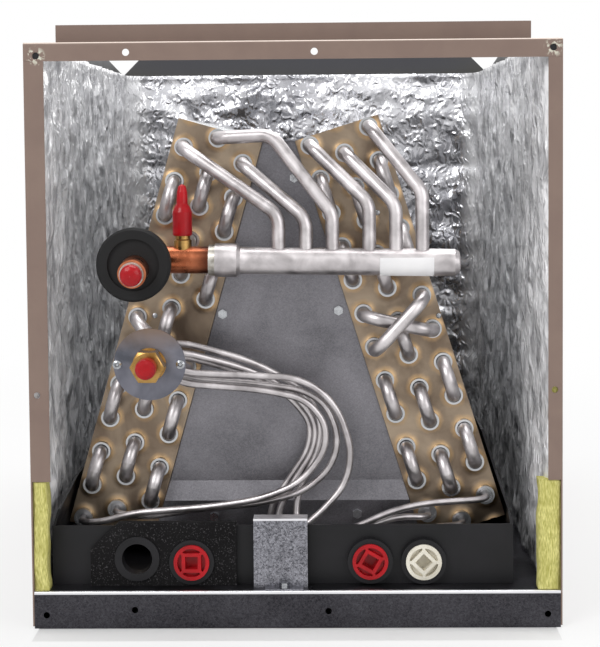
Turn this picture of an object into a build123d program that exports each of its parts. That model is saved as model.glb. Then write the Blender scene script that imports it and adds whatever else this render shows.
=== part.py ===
from build123d import *
import math
import os

os.makedirs("parts", exist_ok=True)

# X runs to the right, Y from the open front to the back, Z up; millimetres.
# The origin is the middle of the underside, between the back and the capped stub's tip.
# "Set back" always means the distance behind the casing's front plane.

# ---------------------------------------------------------------- driving sizes
CASE_WIDTH = 360.4
CASE_DEPTH = 535.0
CASE_HEIGHT = 398.0
SHEET = 1.0
FLANGE_HEIGHT = 12.7          # duct flanges that stand on top of the casing
REAR_FLANGE_HEIGHT = 15.9
FLANGE_TAPER = 143.0          # long slope at both ends of each side flange
RAIL_FACE = 12.7
RAIL_DEPTH = 19.0
LEFT_RETURN = 13.4            # front return flanges of the side walls
RIGHT_RETURN = 9.6
RETURN_FOOT = 101.0
DECK_HEIGHT = 25.4
DECK_LIP = 12.0
BLANKET_LEFT = 9.4
BLANKET_RIGHT = 14.5
BLANKET_REAR = 10.0
BLANKET_CORNER = 25.0

TUBE_D = 9.525
TUBE_PITCH = 25.4
ROW_PITCH = 22.0
ROWS = 3
TUBES_PER_ROW = 12
EDGE_MARGIN = 9.3             # outer face of a slab to its first tube row
SLAB_SETBACK = 84.0
SLAB_REAR_SPACE = 41.0
SHEET_PLATE = 1.5
BELL_D = 13.4
BELL_LENGTH = 5.0
BELL_GAP = 0.45
BEND_R = 12.6

PAN_WALL = 1.8
PAN_FLOOR = 2.5
PAN_TOP = 66.4
PAN_SETBACK = 20.0
PAN_SIDE_GAP = 0.3
PAN_RIGHT_SPACE = 27.7        # casing's right side to the pan
RIGHT_WING_TOP = 120.0
LEFT_WING_TOP = 90.0
PORT_D = 21.0
PORT_BOSS_D = 31.0
PORT_REACH = 6.0

HEADER_D = 19.05
HEADER_SETBACK = 43.0
HEADER_Z = 248.1
HEADER_SLOPE = 1.0            # degrees down towards its closed end
FEEDER_D = 9.525
DISC_D = 48.8
CAPILLARY_D = 4.76
STUB_REACH = 32.95            # how far the capped suction stub stands out in front
CLEAR = 0.1                   # running gap between pieces that do not touch

# ---------------------------------------------------------------- derived places
FRONT = -(CASE_DEPTH - STUB_REACH) / 2
REAR = FRONT + CASE_DEPTH
HALF = CASE_WIDTH / 2
RAIL_FOOT = CASE_HEIGHT - RAIL_FACE
SLAB_LENGTH = TUBES_PER_ROW * TUBE_PITCH
SLAB_THICK = (ROWS - 1) * ROW_PITCH + 2 * EDGE_MARGIN
SLAB_BACK = CASE_DEPTH - SLAB_REAR_SPACE
PAN_LEFT = -HALF + SHEET + BLANKET_LEFT + PAN_SIDE_GAP
PAN_BACK = CASE_DEPTH - SHEET - BLANKET_REAR - 2.0
TUBE_R = TUBE_D / 2


def at(setback):
    """Y of a place that lies this far behind the front plane."""
    return FRONT + setback


def block(x0, x1, y0, y1, z0, z1):
    """Box between two corners."""
    centre = Pos((x0 + x1) / 2, (y0 + y1) / 2, (z0 + z1) / 2)
    return centre * Box(x1 - x0, y1 - y0, z1 - z0)


def prism_y(outline, y0, y1):
    """Outline of (x, z) corners carried from y0 to y1."""
    face = make_face(Polyline(*[(x, y0, z) for x, z in outline], close=True))
    return extrude(face, amount=y1 - y0, dir=(0, 1, 0))


def prism_x(outline, x0, x1):
    """Outline of (y, z) corners carried from x0 to x1."""
    face = make_face(Polyline(*[(x0, y, z) for y, z in outline], close=True))
    return extrude(face, amount=x1 - x0, dir=(1, 0, 0))


def prism_z(outline, z0, z1):
    """Outline of (x, y) corners carried from z0 to z1."""
    face = make_face(Polyline(*[(x, y, z0) for x, y in outline], close=True))
    return extrude(face, amount=z1 - z0, dir=(0, 0, 1))


def rod(start, end, radius):
    """Round bar from one point to the other."""
    start, end = Vector(*start), Vector(*end)
    plane = Plane(origin=start, z_dir=end - start)
    return plane * Cylinder(radius, (end - start).length, align=(Align.CENTER, Align.CENTER, Align.MIN))


def turned(profile, start, direction):
    """Solid of revolution: (radius, distance) corners about a line from start."""
    plane = Plane(origin=Vector(*start), z_dir=Vector(*direction))
    face = make_face(Polyline(*[(r, 0, d) for r, d in profile], close=True))
    return plane * revolve(face, Axis.Z)


def smooth_radii(points, smallest):
    """One radius per corner, as large as the stretches beside the corner allow."""
    radii = []
    for before, corner, after in zip(points, points[1:], points[2:]):
        arriving = Vector(*corner) - Vector(*before)
        leaving = Vector(*after) - Vector(*corner)
        turn = math.radians(arriving.get_angle(leaving))
        room = 0.49 * min(arriving.length, leaving.length)
        radii.append(max(smallest, min(400.0, room / math.tan(turn / 2))))
    return radii


def pipe(points, diameter, radii):
    """Round tube along straight runs joined by tangent arcs."""
    path = FilletPolyline(*points, radius=radii)
    return sweep(Plane(origin=path @ 0, z_dir=path % 0) * Circle(diameter / 2), path=path)


def save(part, name):
    """Write one node."""
    export_step(part, "parts/" + name + ".step")


# ---------------------------------------------------------------- casing
wrapper = block(-HALF, HALF, FRONT, REAR, 1.5, CASE_HEIGHT)
wrapper -= block(-HALF + SHEET, HALF - SHEET, FRONT - 1, REAR - SHEET, 0, CASE_HEIGHT + 1)
back_edges = wrapper.edges().filter_by(Axis.Z).group_by(Axis.Y)
wrapper = fillet(back_edges[-1], 2.0)
inner_edges = wrapper.edges().filter_by(Axis.Z).filter_by_position(Axis.Y, REAR - SHEET - 0.1, REAR - SHEET + 0.1)
wrapper = fillet(inner_edges, 1.0)
RETURNS = [(-HALF, -HALF + LEFT_RETURN), (HALF - RIGHT_RETURN, HALF)]
for x0, x1 in RETURNS:
    wrapper += block(x0, x1, FRONT, FRONT + SHEET, RETURN_FOOT, RAIL_FOOT)
wrapper -= block(-HALF - 1, HALF + 1, FRONT - 1, FRONT + SHEET, RAIL_FOOT, CASE_HEIGHT + 1)
wrapper -= block(-HALF - 1, HALF + 1, FRONT - 1, at(RAIL_DEPTH + SHEET), CASE_HEIGHT - SHEET, CASE_HEIGHT + 1)
for x0, x1 in RETURNS:
    wrapper += block(x0, x1, FRONT + SHEET, FRONT + 2 * SHEET, RAIL_FOOT - 6, CASE_HEIGHT - SHEET)
FLANGE_FRONT = at(3.4 * RAIL_DEPTH)
for x0, x1 in [(-HALF, -HALF + SHEET), (HALF - SHEET, HALF)]:
    wrapper += prism_x(
        [
            (REAR - SHEET, CASE_HEIGHT - 1),
            (REAR - SHEET, CASE_HEIGHT),
            (REAR - FLANGE_TAPER, CASE_HEIGHT + FLANGE_HEIGHT),
            (FLANGE_FRONT + FLANGE_TAPER, CASE_HEIGHT + FLANGE_HEIGHT),
            (FLANGE_FRONT, CASE_HEIGHT),
            (FLANGE_FRONT, CASE_HEIGHT - 1),
        ],
        x0,
        x1,
    )
wrapper += prism_y(
    [
        (-HALF + 2, CASE_HEIGHT - 1),
        (-HALF + 2, CASE_HEIGHT),
        (-HALF + 2 + REAR_FLANGE_HEIGHT, CASE_HEIGHT + REAR_FLANGE_HEIGHT),
        (HALF - 2 - REAR_FLANGE_HEIGHT, CASE_HEIGHT + REAR_FLANGE_HEIGHT),
        (HALF - 2, CASE_HEIGHT),
        (HALF - 2, CASE_HEIGHT - 1),
    ],
    REAR - SHEET,
    REAR,
)
for x, z in [(-HALF + 5.4, 0.4025 * CASE_HEIGHT), (HALF - 5.2, 0.4078 * CASE_HEIGHT)]:
    wrapper -= rod((x, FRONT - 1, z), (x, FRONT + SHEET + 0.5, z), 2.2)
save(wrapper, "casing_wrapper")

rail = block(-HALF, HALF, FRONT, FRONT + SHEET, RAIL_FOOT + CLEAR, CASE_HEIGHT)
rail += block(-HALF, HALF, FRONT, at(RAIL_DEPTH + SHEET), CASE_HEIGHT - SHEET, CASE_HEIGHT)
DUCT_HALF = HALF - RAIL_DEPTH
rail += block(-DUCT_HALF, DUCT_HALF, at(RAIL_DEPTH), at(RAIL_DEPTH + SHEET), CASE_HEIGHT - SHEET, CASE_HEIGHT + FLANGE_HEIGHT)
brow = rail.edges().filter_by(Axis.X).filter_by_position(Axis.Z, CASE_HEIGHT - 0.01, CASE_HEIGHT + 0.01).sort_by(Axis.Y)[0]
rail = fillet(brow, 1.9)
RAIL_HOLES = [(-HALF + 8.4, 8.7), (-111.4, 7.1), (14.7, 7.6), (HALF - 6.3, 6.0)]
for x, below_top in RAIL_HOLES:
    z = CASE_HEIGHT - below_top
    rail -= rod((x, FRONT - 1, z), (x, FRONT + SHEET, z), 2.4)
save(rail, "front_top_rail")

# ---------------------------------------------------------------- slabs
class Slab:
    """One leaning slab of the coil: where it stands and where its tubes run.

    Places in a slab are (down, across, setback): the distance down from its top edge,
    the distance inward from its outer face and the distance behind the front plane.
    """

    def __init__(self, name, side, top_x, foot_x, rest_z, first_tubes, absent):
        self.name = name
        self.side = side
        self.first_tubes = first_tubes
        self.absent = absent
        self.lean = math.asin(abs(foot_x - top_x) / SLAB_LENGTH)
        self.sin = math.sin(self.lean)
        self.cos = math.cos(self.lean)
        self.top = (top_x, rest_z + SLAB_LENGTH * self.cos + SLAB_THICK * self.sin)

    def xz(self, down, across):
        """(x, z) of a place in the slab."""
        x = self.top[0] + self.side * (down * self.sin - across * self.cos)
        z = self.top[1] - down * self.cos - across * self.sin
        return x, z

    def point(self, down, across, setback):
        """The same place as (x, y, z)."""
        x, z = self.xz(down, across)
        return x, at(setback), z

    def tube(self, row, number, setback):
        """Axis point of one tube; row 0 is the outer row, number 1 the topmost tube."""
        down = self.first_tubes[row] + TUBE_PITCH * (number - 1)
        return self.point(down, EDGE_MARGIN + ROW_PITCH * row, setback)

    def places(self):
        """Every (row, number) that has a tube."""
        every = [(row, number) for row in range(ROWS) for number in range(1, TUBES_PER_ROW + 1)]
        return [place for place in every if place not in self.absent]

    def prism(self, down0, down1, across0, across1, setback0, setback1):
        """Block that lies square in the slab."""
        corners = [(down0, across0), (down0, across1), (down1, across1), (down1, across0)]
        return prism_y([self.xz(*corner) for corner in corners], at(setback0), at(setback1))


HIGH = TUBE_PITCH / 4
LOW = 3 * TUBE_PITCH / 4
LEFT_FOOT = PAN_LEFT + PAN_WALL + 0.25
PAN_RIGHT = HALF - PAN_RIGHT_SPACE
PAN_RIGHT_FRONT = PAN_RIGHT - 3.5
RIGHT_FOOT = PAN_RIGHT - PAN_WALL - 0.8
LEDGE_LEFT = DECK_HEIGHT + PAN_FLOOR + 10.0
LEDGE_RIGHT = LEDGE_LEFT + 2.2
left = Slab("left", -1, -84.03, LEFT_FOOT, LEDGE_LEFT, (LOW, HIGH, LOW), [(2, 6), (0, 7)])
right = Slab("right", 1, 59.2, RIGHT_FOOT, LEDGE_RIGHT, (HIGH, LOW, HIGH), [])

BELL_FACE = SLAB_SETBACK - BELL_LENGTH
FOLD = 12.0
for slab in (left, right):
    outer = 1.2
    core = slab.prism(0, SLAB_LENGTH, outer, SLAB_THICK - outer, SLAB_SETBACK + SHEET_PLATE + CLEAR, SLAB_BACK - SHEET_PLATE - CLEAR)
    stubs = []
    holes = []
    for row, number in slab.places():
        nose = slab.tube(row, number, BELL_FACE)
        stub = turned(
            [
                (0, BELL_LENGTH - 1),
                (TUBE_R + BELL_GAP, BELL_LENGTH - 1),
                (TUBE_R + BELL_GAP, 0),
                (BELL_D / 2, 0),
                (BELL_D / 2, BELL_LENGTH - CLEAR),
                (TUBE_R, BELL_LENGTH - CLEAR),
                (TUBE_R, BELL_LENGTH + 3),
                (0, BELL_LENGTH + 3),
            ],
            nose,
            (0, 1, 0),
        )
        stubs.append(stub)
        holes.append(rod(slab.tube(row, number, SLAB_SETBACK - 1), slab.tube(row, number, SLAB_BACK + 1), TUBE_R + 0.25))
    for row in range(ROWS):
        for number in range(1, TUBES_PER_ROW, 2):
            if (row, number) in slab.absent or (row, number + 1) in slab.absent:
                continue
            reach = SLAB_BACK + 1 + BEND_R
            run = [
                slab.tube(row, number, SLAB_BACK - 4),
                slab.tube(row, number, reach),
                slab.tube(row, number + 1, reach),
                slab.tube(row, number + 1, SLAB_BACK - 4),
            ]
            stubs.append(pipe(run, TUBE_D, [BEND_R] * 2))
    if slab.absent:
        reach = SLAB_BACK + 23.6
        run = [slab.tube(2, 5, SLAB_BACK - 4), slab.tube(2, 5, reach), slab.tube(0, 8, reach), slab.tube(0, 8, SLAB_BACK - 4)]
        stubs.append(pipe(run, TUBE_D, [BEND_R] * 2))
    save(core.fuse(*stubs), slab.name + "_fin_pack")

    for end, face, fold in [
        ("front", SLAB_SETBACK, SLAB_SETBACK + SHEET_PLATE),
        ("rear", SLAB_BACK - SHEET_PLATE, SLAB_BACK - SHEET_PLATE - FOLD),
    ]:
        plate = slab.prism(0, SLAB_LENGTH, 0, SLAB_THICK, face, face + SHEET_PLATE)
        for across in (0, SLAB_THICK - 1):
            plate += slab.prism(0, SLAB_LENGTH, across, across + 1, fold, fold + FOLD)
        save(plate.cut(*holes), slab.name + "_" + end + "_tube_sheet")

    bends = []
    leg = SLAB_SETBACK - 1.2
    crown = SLAB_SETBACK - 3 - BEND_R
    for row in range(ROWS):
        for number in (2, 4, 8, 10):
            run = [
                slab.tube(row, number, leg),
                slab.tube(row, number, crown),
                slab.tube(row, number + 1, crown),
                slab.tube(row, number + 1, leg),
            ]
            bends.append(pipe(run, TUBE_D, [BEND_R] * 2))
    middle = [slab.tube(1, 6, leg), slab.tube(1, 6, crown), slab.tube(1, 7, crown), slab.tube(1, 7, leg)]
    bends.append(pipe(middle, TUBE_D, [BEND_R] * 2))
    save(Compound(children=bends), slab.name + "_return_bends")
    first_over = crown - TUBE_D - 0.4
    crossings = [((0, 6), (2, 7), first_over)]
    if not slab.absent:
        crossings = [((2, 6), (0, 7), first_over), ((0, 6), (2, 7), first_over - TUBE_D - 0.3)]
    crossovers = []
    for start, end, layer in crossings:
        run = [slab.tube(*start, leg), slab.tube(*start, layer), slab.tube(*end, layer), slab.tube(*end, leg)]
        crossovers.append(pipe(run, TUBE_D, [BEND_R] * 2))
    save(Compound(children=crossovers), slab.name + "_crossovers")



# ---------------------------------------------------------------- base deck and insulation
INNER_HALF = HALF - SHEET
DECK_HALF = INNER_HALF - CLEAR
DECK_BACK = REAR - SHEET - CLEAR
left_toe = left.xz(SLAB_LENGTH, SLAB_THICK)
right_toe = right.xz(SLAB_LENGTH, SLAB_THICK)
OPEN_LEFT = left_toe[0] + 12.2
OPEN_RIGHT = right_toe[0] - 12.2
OPEN_FRONT = SLAB_SETBACK + 3.1
OPEN_BACK = SLAB_BACK - 8.0

deck = block(-DECK_HALF, DECK_HALF, FRONT, DECK_BACK, 0, DECK_HEIGHT)
deck -= block(-DECK_HALF + SHEET, DECK_HALF - SHEET, FRONT + SHEET, DECK_BACK - SHEET, SHEET, DECK_HEIGHT - SHEET)
deck -= block(-DECK_HALF + DECK_LIP, DECK_HALF - DECK_LIP, FRONT + DECK_LIP, DECK_BACK - DECK_LIP, -1, 2 * SHEET)
deck += block(OPEN_LEFT - SHEET, OPEN_RIGHT + SHEET, at(OPEN_FRONT - SHEET), at(OPEN_BACK + SHEET), DECK_HEIGHT - 9, DECK_HEIGHT)
deck -= block(OPEN_LEFT, OPEN_RIGHT, at(OPEN_FRONT), at(OPEN_BACK), DECK_HEIGHT - 10, DECK_HEIGHT + 1)
brow = deck.edges().filter_by(Axis.X).group_by(Axis.Z)[-1].sort_by(Axis.Y)[0]
deck = fillet(brow, 0.9)
for x in (-DECK_HALF, DECK_HALF):
    inward = math.copysign(1.2, -x)
    corner = [(x, DECK_BACK + 1), (x - inward, DECK_BACK + 1), (x - inward, DECK_BACK - 2), (x, DECK_BACK - 1.2), (x + inward, DECK_BACK)]
    deck -= prism_z(corner, -1, DECK_HEIGHT + 1)
for x, z in [(-HALF + 9.4, 9.2), (-110.4, 12.6), (21.5, 11.5), (HALF - 9.8, 9.2)]:
    deck -= rod((x, FRONT - 1, z), (x, FRONT + SHEET + 1, z), 2.2)
BRACKET_LEFT, BRACKET_RIGHT, BRACKET_TOP = -29.6, 7.4, 73.0
FOOT_SCREW_X, FOOT_SCREW_SETBACK = -8.4, 5.5
deck -= rod((9.4, at(8), DECK_HEIGHT - 2), (9.4, at(8), DECK_HEIGHT + 1), 2.0)
deck -= rod((FOOT_SCREW_X, at(FOOT_SCREW_SETBACK), DECK_HEIGHT - 2), (FOOT_SCREW_X, at(FOOT_SCREW_SETBACK), DECK_HEIGHT + 1), 1.7)
save(deck, "base_deck")

BLANKET_TOP = CASE_HEIGHT - SHEET - 0.2
blanket = block(-INNER_HALF, INNER_HALF, at(2 * SHEET), REAR - SHEET, DECK_HEIGHT, BLANKET_TOP)
corners = blanket.edges().filter_by(Axis.Z).group_by(Axis.Y)[-1]
blanket = fillet(corners, 1.6)
room = block(
    -INNER_HALF + BLANKET_LEFT,
    INNER_HALF - BLANKET_RIGHT,
    FRONT - 5,
    REAR - SHEET - BLANKET_REAR,
    DECK_HEIGHT - 1,
    BLANKET_TOP + 1,
)
corners = room.edges().filter_by(Axis.Z).group_by(Axis.Y)[-1]
room = fillet(corners, BLANKET_CORNER)
save(blanket - room, "insulation_blanket")

# ---------------------------------------------------------------- drain pan
PAN_CORNER_R = BLANKET_CORNER
FRONT_WALL = at(PAN_SETBACK)
pan_plan = [
    (PAN_LEFT, FRONT_WALL),
    (PAN_RIGHT_FRONT, FRONT_WALL),
    (PAN_RIGHT, at(SLAB_SETBACK)),
    (PAN_RIGHT, at(PAN_BACK)),
    (PAN_LEFT, at(PAN_BACK)),
]
trough_plan = [
    (PAN_LEFT + PAN_WALL, FRONT_WALL + PAN_WALL),
    (PAN_RIGHT_FRONT - PAN_WALL, FRONT_WALL + PAN_WALL),
    (PAN_RIGHT - PAN_WALL, at(SLAB_SETBACK)),
    (PAN_RIGHT - PAN_WALL, at(PAN_BACK) - PAN_WALL),
    (PAN_LEFT + PAN_WALL, at(PAN_BACK) - PAN_WALL),
]
pan = prism_z(pan_plan, DECK_HEIGHT, PAN_TOP)
pan = fillet(pan.edges().filter_by(Axis.Z).group_by(Axis.Y)[-1], PAN_CORNER_R)
trough = prism_z(trough_plan, DECK_HEIGHT + PAN_FLOOR, PAN_TOP + 1)
trough = fillet(trough.edges().filter_by(Axis.Z).group_by(Axis.Y)[-1], PAN_CORNER_R - PAN_WALL)
pan -= trough
DAM = 2.0
DAM_TOP = PAN_TOP - 4.4
pan += block(OPEN_LEFT - DAM, OPEN_RIGHT + DAM, at(OPEN_FRONT - DAM), at(OPEN_BACK + DAM), DECK_HEIGHT, DAM_TOP)
pan -= block(OPEN_LEFT, OPEN_RIGHT, at(OPEN_FRONT), at(OPEN_BACK), DECK_HEIGHT - 1, DAM_TOP + 1)
LEDGE = 4.0
for toe_x, top in [(left_toe[0], LEDGE_LEFT), (right_toe[0], LEDGE_RIGHT)]:
    pan += block(toe_x - LEDGE / 2, toe_x + LEDGE / 2, at(SLAB_SETBACK + 4), at(SLAB_BACK - 4), DECK_HEIGHT + 1, top)
FOOT_SCREWS = [(-61.4, 58.1), (42.6, 60.0), (70.0, 60.0)]
for x, z in FOOT_SCREWS:
    pan -= rod((x, at(SLAB_SETBACK), z), (x, at(OPEN_FRONT + 1), z), 1.7)
WING = 1.8
WING_ROOT = PAN_TOP - 2.0
# The wings stop short of the lining's rounded rear corners.
WING_BACK = REAR - SHEET - BLANKET_REAR - BLANKET_CORNER - 1.0


def wing(slab, wall_x, top_z, side_view):
    """Baffle that rises from the pan's side wall, parallel to the slab beside it."""
    shift = (top_z - WING_ROOT) * math.tan(slab.lean) * slab.side
    section = [
        (wall_x, WING_ROOT),
        (wall_x - shift, top_z),
        (wall_x - shift - slab.side * WING, top_z),
        (wall_x - slab.side * WING, WING_ROOT),
    ]
    plate = prism_y(section, FRONT_WALL, WING_BACK)
    outline = [(at(setback), z) for setback, z in side_view]
    return plate & prism_x(outline, min(-HALF, wall_x - 80), max(HALF, wall_x + 80))


pan += wing(
    right,
    PAN_RIGHT,
    RIGHT_WING_TOP,
    [
        (SLAB_SETBACK - 22, WING_ROOT),
        (SLAB_SETBACK + 2, WING_ROOT + 27),
        (SLAB_SETBACK + 8, RIGHT_WING_TOP),
        (SLAB_BACK + 11, RIGHT_WING_TOP),
        (SLAB_BACK + 11, WING_ROOT),
    ],
)
pan += wing(
    left,
    PAN_LEFT,
    LEFT_WING_TOP,
    [
        (PAN_SETBACK, WING_ROOT),
        (PAN_SETBACK + 5, WING_ROOT + 13),
        (SLAB_SETBACK, LEFT_WING_TOP),
        (SLAB_BACK + 11, LEFT_WING_TOP),
        (SLAB_BACK + 11, WING_ROOT),
    ],
)
PORT_FACE = PAN_SETBACK - PORT_REACH
PORTS = {"open": (-110.2, 44.3), "red_left": (-72.6, 41.8), "red_right": (50.4, 42.0), "white": (87.1, 41.6)}
for x, z in PORTS.values():
    pan += rod((x, at(PORT_FACE), z), (x, at(PAN_SETBACK + 5), z), PORT_BOSS_D / 2)
for x, z in PORTS.values():
    pan -= rod((x, at(PORT_FACE - 1), z), (x, at(PAN_SETBACK + 6), z), PORT_D / 2)
save(pan, "drain_pan")

GASKET_FACE = PORT_FACE + 1.0
GASKET_TOP = PAN_TOP + 3.2
gasket = prism_y(
    [
        (-142.4, DECK_HEIGHT + CLEAR),
        (-142.4, GASKET_TOP - 19.3),
        (-122.9, GASKET_TOP),
        (-41.8, GASKET_TOP),
        (-41.8, DECK_HEIGHT + CLEAR),
    ],
    at(GASKET_FACE),
    FRONT_WALL,
)
for name in ("open", "red_left"):
    x, z = PORTS[name]
    gasket -= rod((x, FRONT, z), (x, FRONT_WALL + 1, z), PORT_BOSS_D / 2 + CLEAR)
save(gasket, "drain_gasket")

PLUG_D = 24.5
PLUG_LENGTH = 13.0
for name, turn in [("red_left", 0), ("red_right", 30), ("white", 45)]:
    x, z = PORTS[name]
    face = at(PORT_FACE - 1.8)
    plug = rod((x, face, z), (x, at(PORT_FACE), z), PLUG_D / 2)
    plug += rod((x, face, z), (x, face + PLUG_LENGTH, z), PORT_D / 2 - CLEAR)
    ring = rod((0, 0, 0), (0, 4, 0), 9.8) - Box(13.4, 10, 13.4)
    for angle in (45, 135):
        ring -= Rotation(0, angle, 0) * Box(2.0, 10, 24)
    recess = ring + Box(8.6, 16, 8.6)
    plug -= Pos(x, face, z) * Rotation(0, turn, 0) * recess
    save(plug, "drain_plug_" + name)

# ---------------------------------------------------------------- bracket over the pan wall
BRACKET_FACE = 9.5
HOOK = PAN_SETBACK + PAN_WALL + CLEAR
bracket = block(BRACKET_LEFT, BRACKET_RIGHT, at(BRACKET_FACE), at(BRACKET_FACE + 1), DECK_HEIGHT, BRACKET_TOP)
bracket += block(BRACKET_LEFT, BRACKET_RIGHT, at(BRACKET_FACE), at(HOOK + 1), BRACKET_TOP - 1, BRACKET_TOP)
bracket += block(BRACKET_LEFT, BRACKET_RIGHT, at(HOOK), at(HOOK + 1), PAN_TOP - 8, BRACKET_TOP)
bracket += block(BRACKET_LEFT + 8, BRACKET_RIGHT - 3, at(1.5), at(BRACKET_FACE + 1), DECK_HEIGHT, DECK_HEIGHT + 1)
bracket -= rod((FOOT_SCREW_X, at(FOOT_SCREW_SETBACK), DECK_HEIGHT - 1), (FOOT_SCREW_X, at(FOOT_SCREW_SETBACK), DECK_HEIGHT + 2), 1.7)
save(bracket, "pan_bracket")


def hex_screw(head, direction, across_flats, thick, shank, length):
    """Hexagon head with a plain shank; head is the centre of its outer face."""
    plane = Plane(origin=Vector(*head), z_dir=Vector(*direction))
    corner_r = across_flats / math.sqrt(3)
    body = plane * extrude(RegularPolygon(corner_r, 6), thick)
    return body + rod(head, Vector(*head) + Vector(*direction) * (thick + length), shank)


foot_screw = hex_screw((FOOT_SCREW_X, at(FOOT_SCREW_SETBACK), DECK_HEIGHT + 4.6), (0, 0, -1), 6.4, 3.6, 1.6, 9.0)
save(foot_screw, "bracket_screw")

# ---------------------------------------------------------------- plates that close the A
PLATE_SETBACK = SLAB_SETBACK + 4.0
STEP_Z = 84.0
FOOT_Z = 52.0
apex_z = min(left.xz(0, SLAB_THICK)[1], right.xz(0, SLAB_THICK)[1])


def between_slabs(low, high, gap):
    """Outline of the space between the slabs, from one height to the other."""
    outline = []
    for slab, order in ((left, (low, high)), (right, (high, low))):
        x_top, z_top = slab.xz(0, SLAB_THICK)
        for z in order:
            x = x_top + slab.side * (z_top - z) * math.tan(slab.lean)
            outline.append((x - slab.side * gap, z))
    return outline


profile = [
    (at(PLATE_SETBACK), apex_z),
    (at(PLATE_SETBACK), STEP_Z),
    (at(SLAB_SETBACK), STEP_Z - 14),
    (at(SLAB_SETBACK), FOOT_Z),
    (at(SLAB_SETBACK + 1), FOOT_Z),
    (at(SLAB_SETBACK + 1), STEP_Z - 14.3),
    (at(PLATE_SETBACK + 1), STEP_Z - 0.3),
    (at(PLATE_SETBACK + 1), apex_z),
]
front_plate = prism_x(profile, -HALF, HALF) & prism_y(between_slabs(FOOT_Z, apex_z, 0.3), FRONT, at(2 * SLAB_SETBACK))
DELTA_SCREWS = [(-54.1, 206.1), (30.0, 208.2), (-1.3, 304.5)]
heads = []
for x, z in DELTA_SCREWS + FOOT_SCREWS:
    face = PLATE_SETBACK if z > STEP_Z else SLAB_SETBACK
    front_plate -= rod((x, at(face - 1), z), (x, at(face + 2), z), 1.7)
    heads.append(hex_screw((x, at(face - 2.4), z), (0, 1, 0), 6.2, 2.3, 1.6, 2.9))
save(front_plate, "front_delta_plate")
save(Compound(children=heads), "delta_plate_screws")
back_face = SLAB_BACK - 5.0
rear_plate = prism_y(between_slabs(FOOT_Z, apex_z, 0.3), at(back_face), at(back_face + 1))
save(rear_plate, "rear_delta_plate")

EAR = 9.0
strip = []
for slab in (left, right):
    inner = slab.xz(-CLEAR, SLAB_THICK)
    ear = slab.xz(-CLEAR, SLAB_THICK - EAR)
    crest = slab.xz(-CLEAR - 1, SLAB_THICK - EAR)
    lid = slab.xz(-CLEAR - 1, SLAB_THICK)
    strip.append((inner, ear, crest, lid))
(li, le, lc, ll), (ri, re, rc, rl) = strip
apex_strip = prism_y([le, li, ri, re, rc, rl, ll, lc], at(SLAB_SETBACK), at(SLAB_BACK))
save(apex_strip, "apex_strip")

# ---------------------------------------------------------------- suction line
SLOPE = math.radians(HEADER_SLOPE)
HEADER_AXIS = Vector(math.cos(SLOPE), 0, -math.sin(SLOPE))
HEADER_START = Vector(-40.8, at(HEADER_SETBACK), HEADER_Z)
HEADER_LENGTH = 155.7
HEADER_R = HEADER_D / 2
SOCKET_D = 23.5
SOCKET_LENGTH = 15.1


def header_z(x):
    """Height of the header's axis at this x."""
    return HEADER_Z - (x - HEADER_START.X) * math.tan(SLOPE)


FEEDERS = [
    (-11.6, [(-11.6, 279.8)], left, 0),
    (7.4, [(7.4, 276.9)], left, 2),
    (25.9, [(25.9, 280.0)], left, 1),
    (51.6, [(51.6, 287.5)], right, 2),
    (70.2, [(70.2, 286.2)], right, 1),
    (88.6, [(88.6, 295.0)], right, 0),
]
header = turned(
    [
        (0, 0),
        (HEADER_R, 0),
        (HEADER_R, HEADER_LENGTH - 4),
        (HEADER_R - 1.6, HEADER_LENGTH - 1),
        (HEADER_R - 4.6, HEADER_LENGTH),
        (0, HEADER_LENGTH),
    ],
    HEADER_START,
    HEADER_AXIS,
)
header += turned(
    [
        (0, 2.5),
        (HEADER_R, 2.5),
        (SOCKET_D / 2, 0),
        (SOCKET_D / 2, -SOCKET_LENGTH),
        (HEADER_R + CLEAR, -SOCKET_LENGTH),
        (HEADER_R + CLEAR, -2),
        (0, -2),
    ],
    HEADER_START,
    HEADER_AXIS,
)
for x, *_ in FEEDERS:
    seat = header_z(x) + HEADER_R - 4.0
    header -= rod((x, at(HEADER_SETBACK), seat), (x, at(HEADER_SETBACK), seat + 9), FEEDER_D / 2 + CLEAR)
save(header, "suction_header")

FEEDER_OUT = SLAB_SETBACK - 24.0
for index, (x, bends, slab, row) in enumerate(FEEDERS, start=1):
    seat = header_z(x) + HEADER_R - 3.8
    route = [(x, at(HEADER_SETBACK), seat)]
    route += [(bend_x, at(HEADER_SETBACK), bend_z) for bend_x, bend_z in bends]
    nose = slab.tube(row, 1, FEEDER_OUT)
    if (slab, row) == (left, 1):
        route.append((nose[0] + 39.0, at(FEEDER_OUT - 5), nose[2] + 1.8))
    route += [nose, slab.tube(row, 1, SLAB_SETBACK - 1.2)]
    radii = [16.0] * (len(route) - 3) + [11.0]
    save(pipe(route, FEEDER_D, radii), "feeder_tube_" + str(index))

label_span = (99.6, 137.0)
sleeve = turned(
    [
        (HEADER_R, label_span[0]),
        (HEADER_R + 0.25, label_span[0]),
        (HEADER_R + 0.25, label_span[1]),
        (HEADER_R, label_span[1]),
    ],
    HEADER_START,
    HEADER_AXIS,
)
sleeve -= block(0, HALF, at(HEADER_SETBACK - 2.5), at(HEADER_SETBACK + 20), 200, 300)
sleeve -= block(0, HALF, at(HEADER_SETBACK - 20), at(HEADER_SETBACK + 20), HEADER_Z + 1.6, 300)
save(sleeve, "header_label")

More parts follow.
